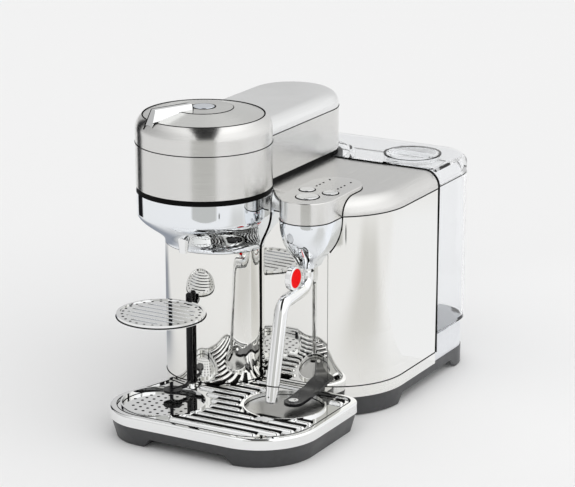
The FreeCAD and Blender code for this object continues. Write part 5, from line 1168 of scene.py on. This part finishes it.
@dataclass(frozen=True)
class Studio:
    """The pale floor, the soft surround with its cards, and the camera."""

    head: Flat = (-0.05065, -0.062)
    camera_place: Spot = (1.1201, -1.9855, 0.8279)
    pitch_down: float = 18.23
    yaw: float = 29.32
    lens: float = 153.5
    shift_up: float = 0.1314
    floor_half: float = 12.0
    floor_shade: float = 0.86
    backdrop: float = 0.87
    glow: float = 0.86
    glow_right: float = 0.28
    glow_ahead: float = 0.22
    glow_above: float = 1.4
    screens: tuple[Screen, ...] = (
        Screen("left_card", -131.0, 0.58, 0.13, -0.6, 1.0, (0.01, 0.01, 0.012), fade=0.2),
        Screen("left_patch", -154.0, 0.06, 0.22, 0.002, 0.002, (0.3, 0.32, 0.36), 0.6),
        Screen("front_card", 1.0, 0.62, 0.25, -0.3, 0.44, (0.56, 0.56, 0.54), fade=0.12),
        Screen("front_post", 25.0, 0.66, 0.016, 0.0, 0.03, (0.1, 0.1, 0.1)),
        Screen("right_patch", 57.0, 0.14, 0.23, 0.002, 0.002, (0.7, 0.695, 0.675), 0.8),
        Screen("white_patch", 112.0, 0.15, 0.36, 0.002, 0.002, (0.95, 0.96, 0.98), 0.8, 0.2),
        Screen("high_card", 5.0, 0.63, 0.14, 0.33, 1.0, (0.005, 0.005, 0.005), -0.97, 0.12),
    )

    def build(self) -> None:
        """Make the floor, the surround, the cards and the camera."""
        self._floor()
        self._surround()
        for screen in self.screens:
            self._card(screen)
        self._camera()
        bpy.context.scene.view_settings.view_transform = "Standard"

    @staticmethod
    def _stage(name: str, corners: Sequence[Any]) -> bpy.types.Object:
        """Return a flat stage piece with these corners and a fresh material."""
        mesh = bpy.data.meshes.new(name)
        mesh.from_pydata(corners, [], [tuple(range(len(corners)))])
        piece = bpy.data.objects.new(name, mesh)
        bpy.context.scene.collection.objects.link(piece)
        material = bpy.data.materials.new(name)
        material.use_nodes = True
        mesh.materials.append(material)
        return piece

    def _floor(self) -> None:
        """Make the pale floor the machine stands on."""
        half = self.floor_half
        floor = self._stage("floor", [(-half, -half, 0), (half, -half, 0), (half, half, 0), (-half, half, 0)])
        shader = floor.data.materials[0].node_tree.nodes["Principled BSDF"]
        shader.inputs["Base Color"].default_value = (self.floor_shade,) * 3 + (1.0,)
        shader.inputs["Roughness"].default_value = 0.75
        shader.inputs["Specular IOR Level"].default_value = 0.1

    def _card(self, screen: Screen) -> None:
        """Stand one card where the polished metal reflects it."""
        ahead, aside = self._ways()
        bearing = math.radians(screen.bearing)
        out = ahead * math.cos(bearing) + aside * math.sin(bearing)
        along = Vector((-out.y, out.x, 0.0)) * screen.half_width
        foot = Vector((*self.head, screen.low)) + out * screen.distance
        top = foot + out * screen.lean_out + Vector((0.0, 0.0, screen.high - screen.low))
        corners = [foot - along, foot + along, top + along, top - along]
        card = self._stage(screen.name, corners)
        across = card.data.uv_layers.new(name="across")
        for loop, place in zip(across.data, ((0.0, 0.0), (1.0, 0.0), (1.0, 1.0), (0.0, 1.0))):
            loop.uv = place
        wiring = Wiring(card.data.materials[0].node_tree)
        shader = wiring.tree.nodes["Principled BSDF"]
        wiring.link(self._faded(wiring, screen.fade), shader.inputs["Alpha"])
        shader.inputs["Base Color"].default_value = (0.0, 0.0, 0.0, 1.0)
        shader.inputs["Specular IOR Level"].default_value = 0.0
        shader.inputs["Emission Color"].default_value = (*screen.shade, 1.0)
        shader.inputs["Emission Strength"].default_value = 1.0
        card.visible_camera = False
        card.visible_diffuse = False
        card.visible_transmission = False
        card.visible_shadow = False

    @staticmethod
    def _faded(wiring: Wiring, fade: float) -> bpy.types.NodeSocket:
        """Return a mask that fades towards the edges of a card.

        Args:
            wiring: The wiring of the card's material.
            fade: The share of the card's width that each edge fades over.

        Returns:
            One in the middle and nothing at the edges.
        """
        spot = wiring.add("ShaderNodeUVMap", uv_map="across").outputs[0]
        off_middle = wiring.vector("ABSOLUTE", wiring.vector("SUBTRACT", spot, (0.5, 0.5, 0.0)))
        parts = wiring.add("ShaderNodeSeparateXYZ", {0: off_middle})
        masks = [wiring.add("ShaderNodeMapRange", {
            "Value": parts.outputs[axis], "From Min": 0.5 - fade, "From Max": 0.5, "To Min": 1.0, "To Max": 0.0},
            interpolation_type="SMOOTHSTEP").outputs["Result"] for axis in ("X", "Y")]
        return wiring.math("MULTIPLY", *masks)

    def _ways(self) -> tuple[Vector, Vector]:
        """Return the level directions towards the camera and to the picture's right."""
        turn = math.radians(self.yaw)
        return Vector((math.sin(turn), -math.cos(turn), 0.0)), Vector((math.cos(turn), math.sin(turn), 0.0))

    def _surround(self) -> None:
        """Make the soft studio surround: brighter overhead, to the right and towards the camera."""
        world = bpy.data.worlds.new("studio")
        world.use_nodes = True
        bpy.context.scene.world = world
        wiring = Wiring(world.node_tree)
        background = world.node_tree.nodes["Background"]
        direction = wiring.add("ShaderNodeTexCoord").outputs["Generated"]
        ahead, aside = self._ways()
        tilt = wiring.vector("DOT_PRODUCT", direction, ahead * self.glow_ahead + aside * self.glow_right)
        level = wiring.math("ADD", tilt, self.glow)
        height = wiring.add("ShaderNodeSeparateXYZ", {0: direction}).outputs["Z"]
        above = wiring.add("ShaderNodeMapRange", {
            "Value": height, "From Min": 0.5, "From Max": 0.85, "To Min": 1.0, "To Max": self.glow_above})
        light = wiring.math("MULTIPLY", level, above.outputs["Result"])
        seen = wiring.add("ShaderNodeLightPath").outputs["Is Camera Ray"]
        shown = wiring.add("ShaderNodeMix", {0: seen, 2: light, 3: self.backdrop}, data_type="FLOAT")
        wiring.link(shown.outputs[0], background.inputs["Strength"])
        background.inputs["Color"].default_value = (1.0, 1.0, 1.0, 1.0)

    def _camera(self) -> None:
        """Place the camera where the photograph was taken from."""
        data = bpy.data.cameras.new("camera")
        data.sensor_width = 36.0
        data.lens = self.lens
        data.shift_y = self.shift_up
        data.clip_end = 100.0
        camera = bpy.data.objects.new("camera", data)
        camera.location = self.camera_place
        camera.rotation_euler = (math.radians(90 - self.pitch_down), 0.0, math.radians(self.yaw))
        bpy.context.scene.collection.objects.link(camera)
        bpy.context.scene.camera = camera


def middle_of(node: str) -> Spot:
    """Return the middle of a solid in plan."""
    low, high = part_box(node)
    return ((low.x + high.x) / 2, (low.y + high.y) / 2, 0.0)


def main() -> None:
    """Load the solids, dress them and build the studio."""
    logging.basicConfig(level=logging.INFO, format="%(message)s")
    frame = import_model()
    palette = Palette(middle_of("head_cap"), middle_of("jug_dish"))
    shop = Workshop(frame["nodes"], palette)
    for kind in (BodyShell, BrewHead, ControlPanel, Steamer, DripTray, CupRest, WaterTank, Inside):
        kind(shop).build()
    Studio().build()


if __name__ == "__main__":
    main()
